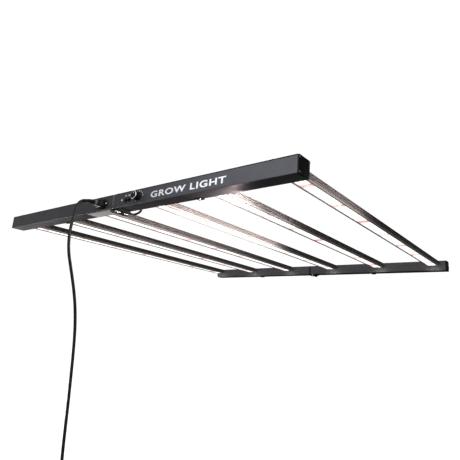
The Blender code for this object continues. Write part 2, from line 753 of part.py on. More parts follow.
def countersink_seam_caps(word, side):
    """Counterbores that keep the seam caps' screw heads below the meeting faces."""
    depth = M3_HEAD_HEIGHT + GAP
    face = side * SEAM_FACE
    for cap_name, points in (("seam_cap_", housing_cap_points(SEAM_CORNERS)),
                             ("rail_seam_cap_", rail_cap_points())):
        cap = bpy.data.objects[cap_name + word]
        runs = [((face - side * 0.002, y, z), (face + side * depth, y, z)) for y, z in points]
        drill(cap, runs, M3_HEAD + GAP, 10)


# ---------------------------------------------------------------- electrics

def make_driver(word, side):
    near, far = span(side, 0.150, 0.530)
    driver = block("driver_" + word, (near, FRONT + 0.0075, -0.034), (far, FRONT + 0.0345, -0.008))
    bevel = driver.modifiers.new("Edges", "BEVEL")
    bevel.width = 0.0012
    bevel.segments = 1
    return dress(driver, driver.name, "driver case")


def make_harness(word, side):
    """The wiring behind the driver: a run along the housing, a tap to the driver and a branch to each bar."""
    bus_y = HOUSING_BACK - WALL - 0.0019
    radius = 0.0014
    name = "bar_harness_" + word
    near, far = bar_centres(side)[0], bar_centres(side)[2]
    inner, outer = span(side, abs(near) - 0.006, abs(far) + 0.006)
    harness = rods(name, [((inner, bus_y, WIRE_Z), (outer, bus_y, WIRE_Z))], radius, 10)
    branches = [rods(name + "_branch", [((x, bus_y, WIRE_Z), (x, HOUSING_BACK + 0.012, WIRE_Z))], 0.0012, 8)
                for x in bar_centres(side)]
    tap_x = side * 0.200
    tap = rods(name + "_tap", [((tap_x, bus_y, WIRE_Z), (tap_x, FRONT + 0.0348, WIRE_Z))], 0.0012, 8)
    join(harness, *branches, tap)
    return dress(harness, name, "wiring")


def make_inlet():
    """Flanged mains inlet: the flange on the front face and a socket box behind it."""
    outline = []
    for side, start in ((1, -90), (-1, 90)):
        corner_z = -side * 0.013
        outline.append((INLET_X + side * 0.0135, INLET_Z + corner_z))
        outline += arc((INLET_X + side * 0.0195, INLET_Z), 0.0055, start + 25, start + 155, 4)
        outline.append((INLET_X + side * 0.0135, INLET_Z - corner_z))
    holes = [circle((INLET_X + x, INLET_Z), M3_SHANK + HOLE_CLEARANCE, HOLE_SIDES)
             for x in (-INLET_SCREW_X, INLET_SCREW_X)]
    inlet = extrusion("mains_inlet", [outline] + holes, "Y", FRONT - 0.0025, FRONT - TOUCH * 2)
    body = block("inlet_body", (INLET_X - 0.0135, FRONT - 0.001, INLET_Z - 0.0098),
                 (INLET_X + 0.0135, FRONT + 0.021, INLET_Z + 0.0098))
    join(inlet, body)
    cut(inlet, block("inlet_pocket", (INLET_X - 0.0121, FRONT - 0.006, INLET_Z - 0.0082),
                     (INLET_X + 0.0121, FRONT + 0.0165, INLET_Z + 0.0082)))
    return dress(inlet, "mains_inlet", "black plastic")


def make_jack(name, x):
    """A modular socket: a box whose pocket opens to the front."""
    back = FRONT + WALL + 0.012
    jack = block(name, (x - JACK_WIDTH / 2, FRONT - 0.0006, JACK_Z - JACK_HEIGHT / 2),
                 (x + JACK_WIDTH / 2, back, JACK_Z + JACK_HEIGHT / 2))
    cut(jack, block(name + "_pocket", (x - 0.0049, FRONT - 0.003, JACK_Z - 0.0036),
                    (x + 0.0049, back - 0.0015, JACK_Z + 0.0036)))
    return dress(jack, name, "black plastic")


def make_controls():
    make_jack("link_jack_in", JACK_CENTRES[0])
    make_jack("link_jack_out", JACK_CENTRES[1])
    board_front = FRONT + WALL + 0.012 + GAP
    board = block("control_board", (0.030, board_front, -0.031), (0.128, board_front + 0.0016, -0.009))
    dress(board, "control_board", "circuit board")
    inside = FRONT + WALL + GAP
    pot = turned("dimmer_potentiometer", ((0.0080, 0.0095), (0.0080, 0), (0.0034, 0), (0.0034, 0.0095)),
                 (KNOB_X, inside, KNOB_Z), (0, 1, 0), 20)
    dress(pot, "dimmer_potentiometer", "black plastic")
    reach = 0.014
    shaft = rods("dimmer_shaft", [((KNOB_X, inside + 0.008, KNOB_Z), (KNOB_X, FRONT - reach, KNOB_Z))],
                 SHAFT_RADIUS, 16)
    dress(shaft, "dimmer_shaft", "brass")
    face = KNOB_LENGTH
    profile = ((0, face), (KNOB_RADIUS - 0.0012, face), (KNOB_RADIUS - 0.0003, face - 0.0009),
               (KNOB_RADIUS, 0.0012), (KNOB_RADIUS, 0), (SHAFT_RADIUS + GAP, 0),
               (SHAFT_RADIUS + GAP, reach - 0.0005),
               (0, reach - 0.0005))
    knob = turned("dimmer_knob", profile, (KNOB_X, FRONT - 0.0008, KNOB_Z), (0, -1, 0), 28)
    dress(knob, "dimmer_knob", "black plastic")


def make_gland(name, x):
    """A cable gland on the housing's back: a six-sided head, and a threaded stub through the wall."""
    base = HOUSING_BACK + GAP
    gland = rods(name, [((x, base, GLAND_Z), (x, base + GLAND_LENGTH, GLAND_Z))], 0.0062, 6, 0.0050)
    stub = rods(name + "_stub", [((x, HOUSING_BACK - 0.006, GLAND_Z), (x, base + 0.002, GLAND_Z))],
                GLAND_STUB_RADIUS, 12)
    join(gland, stub)
    return dress(gland, name, "black plastic")


def link_route():
    """The cable's way across the fold: out of one gland, down in a short loop, and into the other."""
    mouth = HOUSING_BACK + GAP + GLAND_LENGTH + GAP
    return [(GLAND_LEFT_X, mouth, GLAND_Z), (GLAND_LEFT_X, mouth + 0.004, GLAND_Z),
            (GLAND_LEFT_X + 0.0018, mouth + 0.009, GLAND_Z - 0.0018),
            (GLAND_LEFT_X + 0.007, mouth + 0.013, GLAND_Z - 0.0058),
            (-0.002, mouth + 0.014, GLAND_Z - 0.0102), (0.006, mouth + 0.0125, GLAND_Z - 0.0128),
            (0.013, mouth + 0.012, GLAND_Z - 0.0135), (0.020, mouth + 0.0125, GLAND_Z - 0.0128),
            (0.028, mouth + 0.014, GLAND_Z - 0.0102),
            (GLAND_RIGHT_X - 0.007, mouth + 0.013, GLAND_Z - 0.0058),
            (GLAND_RIGHT_X - 0.0018, mouth + 0.009, GLAND_Z - 0.0018),
            (GLAND_RIGHT_X, mouth + 0.004, GLAND_Z), (GLAND_RIGHT_X, mouth, GLAND_Z)]


def make_link():
    make_gland("cable_gland_left", GLAND_LEFT_X)
    make_gland("cable_gland_right", GLAND_RIGHT_X)
    cable = tube("link_cable", smooth_route(link_route(), 0.005), LINK_RADIUS, 2)
    dress(cable, "link_cable", "rubber")


def make_label():
    label = block("rating_label", (-0.118, FRONT + 0.004, HOUSING_BOTTOM - 0.0005),
                  (-0.014, FRONT + 0.039, HOUSING_BOTTOM - 0.0002))
    dress(label, "rating_label", "label")


# ---------------------------------------------------------------- mains lead

def cord_route():
    """The lead's way from the connector down to the surface below, and along it to the coil."""
    landing = FLOOR_Z + CORD_RADIUS
    return [(INLET_X, RELIEF_FACE - GAP, INLET_Z - RELIEF_SAG), (INLET_X, -0.6014, -0.0239),
            (INLET_X, -0.6104, -0.0265), (INLET_X, -0.6183, -0.0322), (INLET_X, -0.6237, -0.0403),
            (INLET_X, -0.6262, -0.0500), (INLET_X, -0.6279, -0.0640), (INLET_X, -0.6303, -0.0800),
            (INLET_X, -0.6322, -0.0970), (-0.0468, -0.6328, -0.1150), (-0.0469, -0.6312, -0.1400),
            (-0.0471, -0.6262, -0.1660), (-0.0473, -0.6170, -0.1940), (-0.0475, -0.6067, -0.2230),
            (-0.0477, -0.5965, -0.2536), (-0.0479, -0.5868, -0.2883), (-0.0481, -0.5791, -0.3261),
            (-0.0483, -0.5739, -0.3629), (-0.0485, -0.5701, -0.4028), (-0.0488, -0.5662, -0.4580),
            (-0.049, -0.5625, -0.5180), (-0.049, -0.5595, -0.5780), (-0.049, -0.5560, -0.6380),
            (-0.049, -0.5520, -0.6800), (-0.049, -0.5465, -0.7060), (-0.049, -0.5350, -0.7230),
            (-0.049, -0.5180, -0.7322), (-0.049, -0.5000, landing), (-0.049, -0.4970, landing)]


def coil_box():
    """The coil's centre, inner and outer radius, bottom and top: two turns across and two high."""
    entry_x, entry_y, _ = cord_route()[-1]
    half = 2 * CORD_RADIUS
    outer_turn = COIL_RADIUS + CORD_RADIUS
    run = math.sqrt((COIL_RADIUS + half + CORD_RADIUS + 2 * GAP) ** 2 - outer_turn ** 2)
    bottom = FLOOR_Z + TIE_THICKNESS + GAP
    centre = (entry_x + outer_turn, entry_y + run)
    return centre, COIL_RADIUS - half, COIL_RADIUS + half, bottom, bottom + 2 * half


def make_coil():
    (x, y), inner, outer, bottom, top = coil_box()
    soft = 0.0025
    section = rounded_rectangle((inner, bottom), (outer, top), soft, 2)
    section.reverse()
    coil = turned("mains_cord_coil", section, (x, y, 0), (0, 0, 1), 32)
    dress(coil, "mains_cord_coil", "rubber")


def make_tie():
    """A strap round the coil's turns, on the side away from the plug."""
    (x, y), inner, outer, bottom, top = coil_box()
    angle = math.radians(80)
    width = 0.009
    clear = 3 * GAP
    wrap = TIE_THICKNESS + clear
    rise = TIE_THICKNESS + GAP
    loops = [rounded_rectangle((inner - wrap, bottom - rise), (outer + wrap, top + rise), 0.002, 2),
             rectangle((inner - clear, bottom - GAP), (outer + clear, top + GAP))]
    tie = extrusion("cord_tie", loops, "Y", -width / 2, width / 2)
    tie.data.transform(tie.matrix_world)
    tie.matrix_world = Matrix.Translation((x, y, 0)) @ Matrix.Rotation(angle, 4, "Z")
    dress(tie, "cord_tie", "black plastic")


def make_connector():
    """Moulded connector: its nose in the inlet, a stepped body, a collar and a sagging strain relief."""
    body = block("mains_connector", (INLET_X - 0.0135, BODY_FACE, INLET_Z - 0.010),
                 (INLET_X + 0.0135, CONNECTOR_FACE, INLET_Z + 0.010))
    nose = block("connector_nose", (INLET_X - 0.0118, CONNECTOR_FACE - 0.001, INLET_Z - 0.0079),
                 (INLET_X + 0.0118, FRONT + 0.0155, INLET_Z + 0.0079))
    shoulder = block("connector_shoulder", (INLET_X - 0.0105, SHOULDER_FACE, INLET_Z - 0.0086),
                     (INLET_X + 0.0105, BODY_FACE + 0.001, INLET_Z + 0.0086))
    collar = block("connector_collar", (INLET_X - 0.0080, BAND_FACE, INLET_Z - 0.0070),
                   (INLET_X + 0.0080, SHOULDER_FACE + 0.001, INLET_Z + 0.0070))
    sag = [((INLET_X, BAND_FACE + 0.001, INLET_Z), (INLET_X, RELIEF_FACE, INLET_Z - RELIEF_SAG))]
    relief = rods("connector_relief", sag, 0.0066, 20, 0.0048)
    join(body, nose, shoulder, collar, relief)
    dress(body, "mains_connector", "black plastic")


def make_plug():
    """Three-pin mains plug, lying beside the coil with its blades to the front."""
    (x, y), _, outer, bottom, _ = coil_box()
    axis_x = x + COIL_RADIUS + CORD_RADIUS
    half_height = 0.0125
    axis_z = FLOOR_Z + half_height
    relief_end = 0.0052
    start = y - math.sqrt((outer + relief_end + 2 * GAP) ** 2 - (COIL_RADIUS + CORD_RADIUS) ** 2)
    shoulder = start - 0.024
    face = shoulder - 0.026
    body = block("mains_plug", (axis_x - 0.013, face, FLOOR_Z),
                 (axis_x + 0.013, shoulder, axis_z + half_height))
    bevel = body.modifiers.new("Edges", "BEVEL")
    bevel.width = 0.003
    bevel.segments = 2
    relief = rods("plug_relief", [((axis_x, shoulder - 0.001, axis_z), (axis_x, start, axis_z))],
                  0.0080, 16, relief_end)
    blades = [block("plug_blade", (axis_x + offset - 0.0008, face - 0.0175, axis_z - 0.0062),
                    (axis_x + offset + 0.0008, face + 0.002, axis_z + 0.0002))
              for offset in (-0.0063, 0.0063)]
    pin_z = axis_z + 0.0070
    earth = rods("plug_earth", [((axis_x, face + 0.002, pin_z), (axis_x, face - 0.0205, pin_z))],
                 0.0024, 12)
    join(body, relief, *blades, earth)
    dress(body, "mains_plug", "black plastic")


def make_mains_lead():
    make_connector()
    cord = tube("mains_cord", smooth_route(cord_route(), 0.0125), CORD_RADIUS, 2)
    dress(cord, "mains_cord", "rubber")
    make_coil()
    make_tie()
    make_plug()


# ---------------------------------------------------------------- the whole light

def make_half(word, side):
    make_beams(word, side)
    countersink_seam_caps(word, side)
    for i, centre in enumerate(bar_centres(side)):
        number = 3 - i if side < 0 else 4 + i
        make_bar(number, centre)
    make_hangers(word, side)
    make_driver(word, side)
    make_harness(word, side)


def main():
    clear_scene()
    collection(MODEL)
    collection("cutters")
    for word, side in SIDES.items():
        make_half(word, side)
    make_hinge("front", HOUSING_BOTTOM, FRONT + HOUSING_DEPTH / 2)
    make_hinge("rear", RAIL_BOTTOM, REAR - RAIL_DEPTH / 2)
    make_inlet()
    make_label()
    make_controls()
    make_front_screws()
    make_link()
    make_mains_lead()


main()
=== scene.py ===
import json
import math

import bmesh
import bpy
from mathutils import Matrix, Vector


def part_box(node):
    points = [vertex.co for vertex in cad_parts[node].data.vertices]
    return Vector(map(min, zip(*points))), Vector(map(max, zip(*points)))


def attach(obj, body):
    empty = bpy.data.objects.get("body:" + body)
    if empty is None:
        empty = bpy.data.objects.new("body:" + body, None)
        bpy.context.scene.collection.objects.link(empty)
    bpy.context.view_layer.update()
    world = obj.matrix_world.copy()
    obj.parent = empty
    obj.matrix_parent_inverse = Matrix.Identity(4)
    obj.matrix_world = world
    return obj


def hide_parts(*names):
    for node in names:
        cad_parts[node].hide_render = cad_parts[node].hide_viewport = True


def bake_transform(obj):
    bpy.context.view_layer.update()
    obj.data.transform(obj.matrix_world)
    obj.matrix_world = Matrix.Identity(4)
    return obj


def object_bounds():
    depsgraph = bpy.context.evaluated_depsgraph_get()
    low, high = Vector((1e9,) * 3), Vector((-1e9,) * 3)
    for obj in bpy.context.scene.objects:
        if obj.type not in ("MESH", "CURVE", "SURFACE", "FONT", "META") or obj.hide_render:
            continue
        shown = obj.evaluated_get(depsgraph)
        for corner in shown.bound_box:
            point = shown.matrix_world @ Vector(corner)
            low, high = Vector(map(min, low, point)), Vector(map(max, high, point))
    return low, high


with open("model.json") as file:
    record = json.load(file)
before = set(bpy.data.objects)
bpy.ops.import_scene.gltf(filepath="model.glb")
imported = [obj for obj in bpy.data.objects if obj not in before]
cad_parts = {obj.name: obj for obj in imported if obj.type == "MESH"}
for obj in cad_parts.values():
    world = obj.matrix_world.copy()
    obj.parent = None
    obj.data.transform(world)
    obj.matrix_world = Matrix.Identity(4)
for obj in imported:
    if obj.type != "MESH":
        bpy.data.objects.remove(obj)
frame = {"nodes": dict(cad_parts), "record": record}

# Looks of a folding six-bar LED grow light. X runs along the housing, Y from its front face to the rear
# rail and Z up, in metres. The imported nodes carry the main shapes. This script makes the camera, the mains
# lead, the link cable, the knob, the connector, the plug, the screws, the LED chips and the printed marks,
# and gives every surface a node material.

cad_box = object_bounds()

# Faces of the housing and the rail
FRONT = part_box("housing_right")[0].y
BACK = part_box("housing_right")[1].y
RAIL_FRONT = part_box("rear_rail_right")[0].y
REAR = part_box("rear_rail_right")[1].y
HALF_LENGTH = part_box("outer_end_cap_right")[1].x
FLOOR_Z = cad_box[0].z
GAP = 0.0003

# Mains lead and link cable
CORD_RADIUS = 0.00375
INLET_X = -0.0467
INLET_Z = -0.0212
CONNECTOR_FACE = FRONT - 0.0028
BODY_FACE = FRONT - 0.013
SHOULDER_FACE = FRONT - 0.0205
BAND_FACE = FRONT - 0.026
RELIEF_FACE = FRONT - 0.0461
RELIEF_SAG = 0.0024
COIL_RADIUS = 0.044
TIE_THICKNESS = 0.001
PLUG_AXIS_Z = FLOOR_Z + 0.0125
PLUG_BODY_LENGTH = 0.026
PLUG_RELIEF_LENGTH = 0.024
LANDING_Z = FLOOR_Z + CORD_RADIUS
LINK_RADIUS = 0.0030
GLAND_LEFT_X = -0.018
GLAND_RIGHT_X = 0.044
GLAND_Z = -0.025
GLAND_MOUTH = BACK + 0.0086

# Controls
KNOB_X = 0.102
KNOB_Z = -0.0195
KNOB_RADIUS = 0.0108
KNOB_BASE = FRONT - 0.0008
KNOB_LENGTH = 0.0175
JACK_Z = -0.0224

# Bars, from the left end to the right
BAR_CENTRES = {3: -0.5125, 2: -0.3095, 1: -0.1065, 4: 0.1065, 5: 0.3095, 6: 0.5125}
RED_START = -0.300
RED_PITCH = 0.150
CHIP_PITCH = 0.0125
CHIP_ROWS = (-0.0095, 0.0, 0.0095)
CHIP_MARGIN = 0.012

# Fastener heads (radius and height) and their places
SMALL_HEAD = (0.0027, 0.0016)
HINGE_HEAD = (0.0032, 0.0013)
HINGE_X = 0.014
HINGE_SCREW_X = 0.0081
HINGE_SCREW_Z = -0.0441
CAP_SCREW_INSET = 0.0033
BAR_BOLT_Z = -0.0122
HANGER_X = 0.275


# ---------------------------------------------------------------- camera

def make_camera():
    data = bpy.data.cameras.new("camera")
    data.lens = 34.134
    data.sensor_width = 36.0
    camera = bpy.data.objects.new("camera", data)
    camera.location = (0.9325, -1.2019, -0.3365)
    camera.rotation_euler = [math.radians(a) for a in (103.727, -4.382, 38.300)]
    bpy.context.scene.collection.objects.link(camera)
    bpy.context.scene.camera = camera


# ---------------------------------------------------------------- materials

class Look:
    """A node material: one Principled shader fed by procedural textures in the part's own coordinates."""

    def __init__(self, name, metallic=0.0, specular=0.5):
        self.material = bpy.data.materials.new(name)
        self.material.use_nodes = True
        self.tree = self.material.node_tree
        self.shader = self.tree.nodes["Principled BSDF"]
        self.shader.inputs["Metallic"].default_value = metallic
        self.shader.inputs["Specular IOR Level"].default_value = specular
        self.position = self.add("ShaderNodeTexCoord").outputs["Object"]

    def add(self, kind):
        return self.tree.nodes.new(kind)

    def feed(self, socket, value):
        if isinstance(value, bpy.types.NodeSocket):
            self.tree.links.new(value, socket)
        else:
            socket.default_value = value

    def math(self, operation, first, second=0.0):
        node = self.add("ShaderNodeMath")
        node.operation = operation
        self.feed(node.inputs[0], first)
        self.feed(node.inputs[1], second)
        return node.outputs[0]

    def axis(self, name):
        node = self.add("ShaderNodeSeparateXYZ")
        self.feed(node.inputs[0], self.position)
        return node.outputs[name]

    def noise(self, scale, detail=2.0, stretch=(1, 1, 1)):
        mapping = self.add("ShaderNodeMapping")
        mapping.inputs["Scale"].default_value = stretch
        self.feed(mapping.inputs["Vector"], self.position)
        node = self.add("ShaderNodeTexNoise")
        self.feed(node.inputs["Vector"], mapping.outputs[0])
        node.inputs["Scale"].default_value = scale
        node.inputs["Detail"].default_value = detail
        return node.outputs["Fac"]

    def spread(self, value, low, high, start=0.3, end=0.7):
        """The value from start to end, mapped to low to high and kept between them."""
        node = self.add("ShaderNodeMapRange")
        self.feed(node.inputs["Value"], value)
        node.inputs["From Min"].default_value = start
        node.inputs["From Max"].default_value = end
        node.inputs["To Min"].default_value = low
        node.inputs["To Max"].default_value = high
        return node.outputs["Result"]

    def mix(self, factor, first, second):
        node = self.add("ShaderNodeMix")
        node.data_type = "RGBA"
        self.feed(node.inputs["Factor"], factor)
        self.feed(node.inputs[6], first if isinstance(first, bpy.types.NodeSocket) else (*first, 1))
        self.feed(node.inputs[7], second if isinstance(second, bpy.types.NodeSocket) else (*second, 1))
        return node.outputs[2]

    def bevel(self, radius):
        """The normal with its edges rounded, and how near a point is to an edge, from 0 to 1."""
        node = self.add("ShaderNodeBevel")
        node.samples = 4
        node.inputs["Radius"].default_value = radius
        dot = self.add("ShaderNodeVectorMath")
        dot.operation = "DOT_PRODUCT"
        self.feed(dot.inputs[0], node.outputs[0])
        self.feed(dot.inputs[1], self.add("ShaderNodeNewGeometry").outputs["True Normal"])
        return node.outputs[0], self.spread(dot.outputs["Value"], 1, 0, 0.75, 0.99)

    def bump(self, height, distance, strength, normal=None):
        node = self.add("ShaderNodeBump")
        node.inputs["Distance"].default_value = distance
        node.inputs["Strength"].default_value = strength
        self.feed(node.inputs["Height"], height)
        if normal is not None:
            self.feed(node.inputs["Normal"], normal)
        return node.outputs[0]

    def finish(self, colour, roughness, normal=None):
        self.feed(self.shader.inputs["Base Color"], colour)
        self.feed(self.shader.inputs["Roughness"], roughness)
        if normal is not None:
            self.feed(self.shader.inputs["Normal"], normal)
        return self.material


def powder_coat(name, dark, light, edge_wear_and_highlight, specular, metallic=0.0):
    """Satin powder coat: fine orange peel, faint cloudiness and paler edges, partly rubbed wear and partly a
    painted highlight.
    """
    look = Look(name, metallic, specular)
    rounded, near_edge = look.bevel(0.0005)
    cloud = look.mix(look.spread(look.noise(9, 5), 0, 1), dark, light)
    grain = look.mix(look.spread(look.noise(2600, 1), 0, 0.35), cloud, tuple(c * 1.6 for c in light))
    # Paler edges near the bevel: partly rubbed wear, partly a painted highlight along the edges.
    rubbed_and_highlight = look.math("MULTIPLY", near_edge, look.spread(look.noise(60, 3), 0.25, 0.9))
    colour = look.mix(rubbed_and_highlight, grain, edge_wear_and_highlight)
    roughness = look.spread(look.noise(35, 4), 0.34, 0.50)
    return look.finish(colour, roughness, look.bump(look.noise(1500, 2), 0.00006, 0.35, rounded))


def extruded(name, dark, light, metallic, specular):
    """Anodised extrusion: die lines along the bar, and soft stains."""
    look = Look(name, metallic, specular)
    lines = look.noise(900, 2, (1, 0.012, 1))
    stain = look.noise(22, 4)
    colour = look.mix(look.spread(stain, 0, 0.6), dark, light)
    colour = look.mix(look.spread(lines, 0, 0.5), colour, tuple(c * 1.35 for c in light))
    roughness = look.spread(lines, 0.34, 0.52)
    return look.finish(colour, roughness, look.bump(lines, 0.00005, 0.4))


def moulded(name, dark, light, roughness_low, roughness_high, specular=0.35):
    """Moulded plastic: fine spark-eroded grain and paler edges, a painted sheen."""
    look = Look(name, 0.0, specular)
    rounded, near_edge = look.bevel(0.0004)
    colour = look.mix(look.spread(look.noise(70, 3), 0, 1), dark, light)
    # Paler edges: a painted sheen along the edges.
    colour = look.mix(look.math("MULTIPLY", near_edge, 0.25), colour, tuple(c * 2.2 for c in light))
    roughness = look.spread(look.noise(140, 3), roughness_low, roughness_high)
    return look.finish(colour, roughness, look.bump(look.noise(2400, 2), 0.00004, 0.3, rounded))


def metal(name, dark, light, roughness_low, roughness_high, lines=(1, 1, 1), scale=700, metallic=1.0):
    """Plated or machined metal with fine tool lines and dulled patches."""
    look = Look(name, metallic)
    fine = look.noise(scale, 3, lines)
    colour = look.mix(look.spread(look.noise(120, 3), 0, 1), dark, light)
    roughness = look.spread(fine, roughness_low, roughness_high)
    return look.finish(colour, roughness, look.bump(fine, 0.00003, 0.25))


def cable_jacket(name):
    """Extruded rubber jacket: long faint draw lines, scuffs and dust."""
    look = Look(name, 0.0, 0.4)
    dust = look.spread(look.noise(45, 5), 0, 0.45, 0.5, 0.8)
    colour = look.mix(dust, (0.010, 0.010, 0.011), (0.035, 0.034, 0.033))
    roughness = look.spread(look.noise(90, 4), 0.36, 0.58)
    return look.finish(colour, roughness, look.bump(look.noise(1100, 2), 0.00005, 0.25))


def lit_board(name):
    """White solder mask lit by its chips, with rosy light round the red chips."""
    look = Look(name, 0.0, 0.5)
    along = look.axis("Y")
    turns = look.math("ADD", look.math("DIVIDE", along, RED_PITCH), 0.5 - RED_START / RED_PITCH)
    phase = look.math("FRACT", turns)
    distance = look.math("ABSOLUTE", look.math("SUBTRACT", phase, 0.5))
    rosy = look.math("MULTIPLY", look.spread(distance, 1, 0, 0.03, 0.10),
                     look.spread(look.noise(5, 1), 0.25, 1, 0.4, 0.6))
    colour = look.mix(look.spread(look.noise(260, 3), 0, 1), (0.82, 0.81, 0.78), (0.90, 0.89, 0.87))
    glow = look.mix(rosy, (1.0, 0.985, 0.96), (1.0, 0.42, 0.42))
    look.feed(look.shader.inputs["Emission Color"], glow)
    look.feed(look.shader.inputs["Emission Strength"], look.spread(rosy, 1.3, 0.80, 0, 1))
    return look.finish(colour, look.spread(look.noise(500, 2), 0.30, 0.45),
                       look.bump(look.noise(900, 2), 0.00003, 0.2))


def lit_chip(name, colour, strength):
    """The glowing window of an LED package, brighter at its middle."""
    look = Look(name, 0.0, 0.5)
    fine = look.noise(2200, 2)
    look.feed(look.shader.inputs["Emission Color"], (*colour, 1))
    look.feed(look.shader.inputs["Emission Strength"], look.spread(fine, strength * 0.85, strength * 1.15))
    look.material.cycles.emission_sampling = "NONE"
    return look.finish(look.mix(look.spread(fine, 0, 1), colour, tuple(c * 0.8 for c in colour)), 0.3)


def printed_film(name):
    """Blank label film with a fine printed border and faint creases."""
    look = Look(name, 0.0, 0.4)
    low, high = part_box("rating_label")
    near = []
    for axis in "XY":
        middle, half = (getattr(low + high, axis.lower()) / 2, getattr(high - low, axis.lower()) / 2)
        offset = look.math("ABSOLUTE", look.math("SUBTRACT", look.axis(axis), middle))
        near.append(look.math("SUBTRACT", half - 0.0016, offset))
    inset = look.math("ABSOLUTE", look.math("MINIMUM", near[0], near[1]))
    border = look.spread(inset, 0.75, 0, 0.0002, 0.0003)
    film = look.mix(look.spread(look.noise(50, 4), 0, 1), (0.84, 0.83, 0.83), (0.92, 0.91, 0.91))
    colour = look.mix(border, film, (0.12, 0.12, 0.13))
    return look.finish(colour, look.spread(look.noise(90, 3), 0.35, 0.5),
                       look.bump(look.noise(130, 3), 0.0001, 0.2))


def circuit(name):
    """Green solder mask with paler copper tracks under it."""
    look = Look(name, 0.0, 0.5)
    cells = look.add("ShaderNodeTexBrick")
    look.feed(cells.inputs["Vector"], look.position)
    cells.inputs["Scale"].default_value = 160
    cells.inputs["Mortar Size"].default_value = 0.06
    colour = look.mix(cells.outputs["Fac"], (0.012, 0.10, 0.035), (0.03, 0.20, 0.08))
    return look.finish(colour, look.spread(look.noise(300, 2), 0.25, 0.4),
                       look.bump(cells.outputs["Fac"], 0.00005, 0.3))


def ink(name, colour):
    """Screen-printed ink, slightly thin in places."""
    look = Look(name, 0.0, 0.3)
    worn = look.spread(look.noise(900, 3), 0, 0.25, 0.55, 0.8)
    shade = look.mix(worn, colour, tuple(c * 0.6 for c in colour))
    return look.finish(shade, look.spread(look.noise(400, 2), 0.4, 0.6),
                       look.bump(look.noise(1500, 2), 0.00003, 0.2))


def pale_floor(name):
    """Matt studio floor that glows enough to stay white."""
    look = Look(name, 0.0, 0.2)
    tone = look.mix(look.spread(look.noise(1.5, 4), 0, 1), (0.50, 0.50, 0.50), (0.54, 0.54, 0.54))
    look.feed(look.shader.inputs["Emission Color"], tone)
    look.feed(look.shader.inputs["Emission Strength"], 1.9)
    return look.finish(tone, look.spread(look.noise(6, 3), 0.75, 0.9),
                       look.bump(look.noise(250, 2), 0.0002, 0.1))


LOOKS = {
    "charcoal_paint": powder_coat("charcoal_paint", (0.062, 0.062, 0.070), (0.075, 0.075, 0.084),
                                  (0.085, 0.085, 0.095), 0.4),
    "black_paint": powder_coat("black_paint", (0.0035, 0.0035, 0.0035), (0.006, 0.006, 0.006),
                               (0.03, 0.03, 0.03), 0.10),
    "light_alloy": metal("light_alloy", (0.30, 0.30, 0.31), (0.38, 0.38, 0.39), 0.32, 0.48),
    "dark_anodised": extruded("dark_anodised", (0.135, 0.128, 0.124), (0.170, 0.162, 0.157), 0.10, 0.4),
    "white_board": lit_board("white_board"),
    "black_plastic": moulded("black_plastic", (0.008, 0.008, 0.009), (0.014, 0.014, 0.015), 0.32, 0.48),
    "zinc": metal("zinc", (0.84, 0.84, 0.82), (0.94, 0.94, 0.92), 0.30, 0.45, metallic=0.25),
    "cord_rubber": cable_jacket("cord_rubber"),
    "label": printed_film("label"),
    "driver_case": metal("driver_case", (0.34, 0.35, 0.37), (0.42, 0.43, 0.45), 0.38, 0.55, (0.02, 1, 1)),
    "circuit_board": circuit("circuit_board"),
    "wiring": moulded("wiring", (0.38, 0.035, 0.03), (0.50, 0.055, 0.045), 0.35, 0.5, 0.4),
    "brass": metal("brass", (0.62, 0.45, 0.20), (0.74, 0.56, 0.27), 0.22, 0.38),
}
COLLAR = moulded("grey_plastic", (0.19, 0.19, 0.20), (0.24, 0.24, 0.25), 0.40, 0.55, 0.4)
WHITE_INK = ink("white_ink", (0.95, 0.95, 0.95))
WARM_CHIP = lit_chip("warm_chip", (1.0, 0.95, 0.86), 2.4)
RED_CHIP = lit_chip("red_chip", (1.0, 0.30, 0.29), 1.0)
PACKAGE = moulded("chip_package", (0.70, 0.69, 0.66), (0.78, 0.77, 0.75), 0.35, 0.5, 0.4)
GOLD = metal("contact_gold", (0.30, 0.21, 0.09), (0.38, 0.28, 0.13), 0.3, 0.45)


def dress_nodes():
    """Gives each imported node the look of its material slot."""
    for entry in frame["record"]["subparts"]:
        node = frame["nodes"][entry["node"]]
        node.data.materials.clear()
        node.data.materials.append(LOOKS[entry["material_slot"]])


# ---------------------------------------------------------------- mesh tools

def ring_skin(shape, rings, material=0):
    """Adds a closed skin through rings of equal point counts, capped at both ends."""
    loops = [[shape.verts.new(point) for point in ring] for ring in rings]
    faces = []
    for near, far in zip(loops, loops[1:]):
        for i in range(len(near)):
            j = (i + 1) % len(near)
            faces.append(shape.faces.new((near[i], near[j], far[j], far[i])))
    faces.append(shape.faces.new(list(reversed(loops[0]))))
    faces.append(shape.faces.new(loops[-1]))
    for face in faces:
        face.material_index = material
    return faces


def piece(name, shape, materials, body, smooth=35, bevel=None):
    """A mesh object from a bmesh, shaded, in its material, riding on a body."""
    bmesh.ops.recalc_face_normals(shape, faces=shape.faces)
    mesh = bpy.data.meshes.new(name)
    shape.to_mesh(mesh)
    shape.free()
    mesh.shade_smooth()
    mesh.set_sharp_from_angle(angle=math.radians(smooth))
    thing = bpy.data.objects.new(name, mesh)
    bpy.context.scene.collection.objects.link(thing)
    for material in materials:
        mesh.materials.append(material)
    if bevel:
        edges = thing.modifiers.new("Edges", "BEVEL")
        edges.width = bevel
        edges.segments = 3
        edges.limit_method = "ANGLE"
        edges.angle_limit = math.radians(smooth)
        edges.harden_normals = True
    if body:
        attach(thing, body)
    return thing


def block(shape, low, high, material=0):
    """Adds a box between two corners."""
    low, high = Vector(low), Vector(high)
    made = bmesh.ops.create_cube(shape, size=1.0)
    size = high - low
    bmesh.ops.scale(shape, vec=size, verts=made["verts"])
    bmesh.ops.translate(shape, vec=(low + high) / 2, verts=made["verts"])
    for face in {f for v in made["verts"] for f in v.link_faces}:
        face.material_index = material


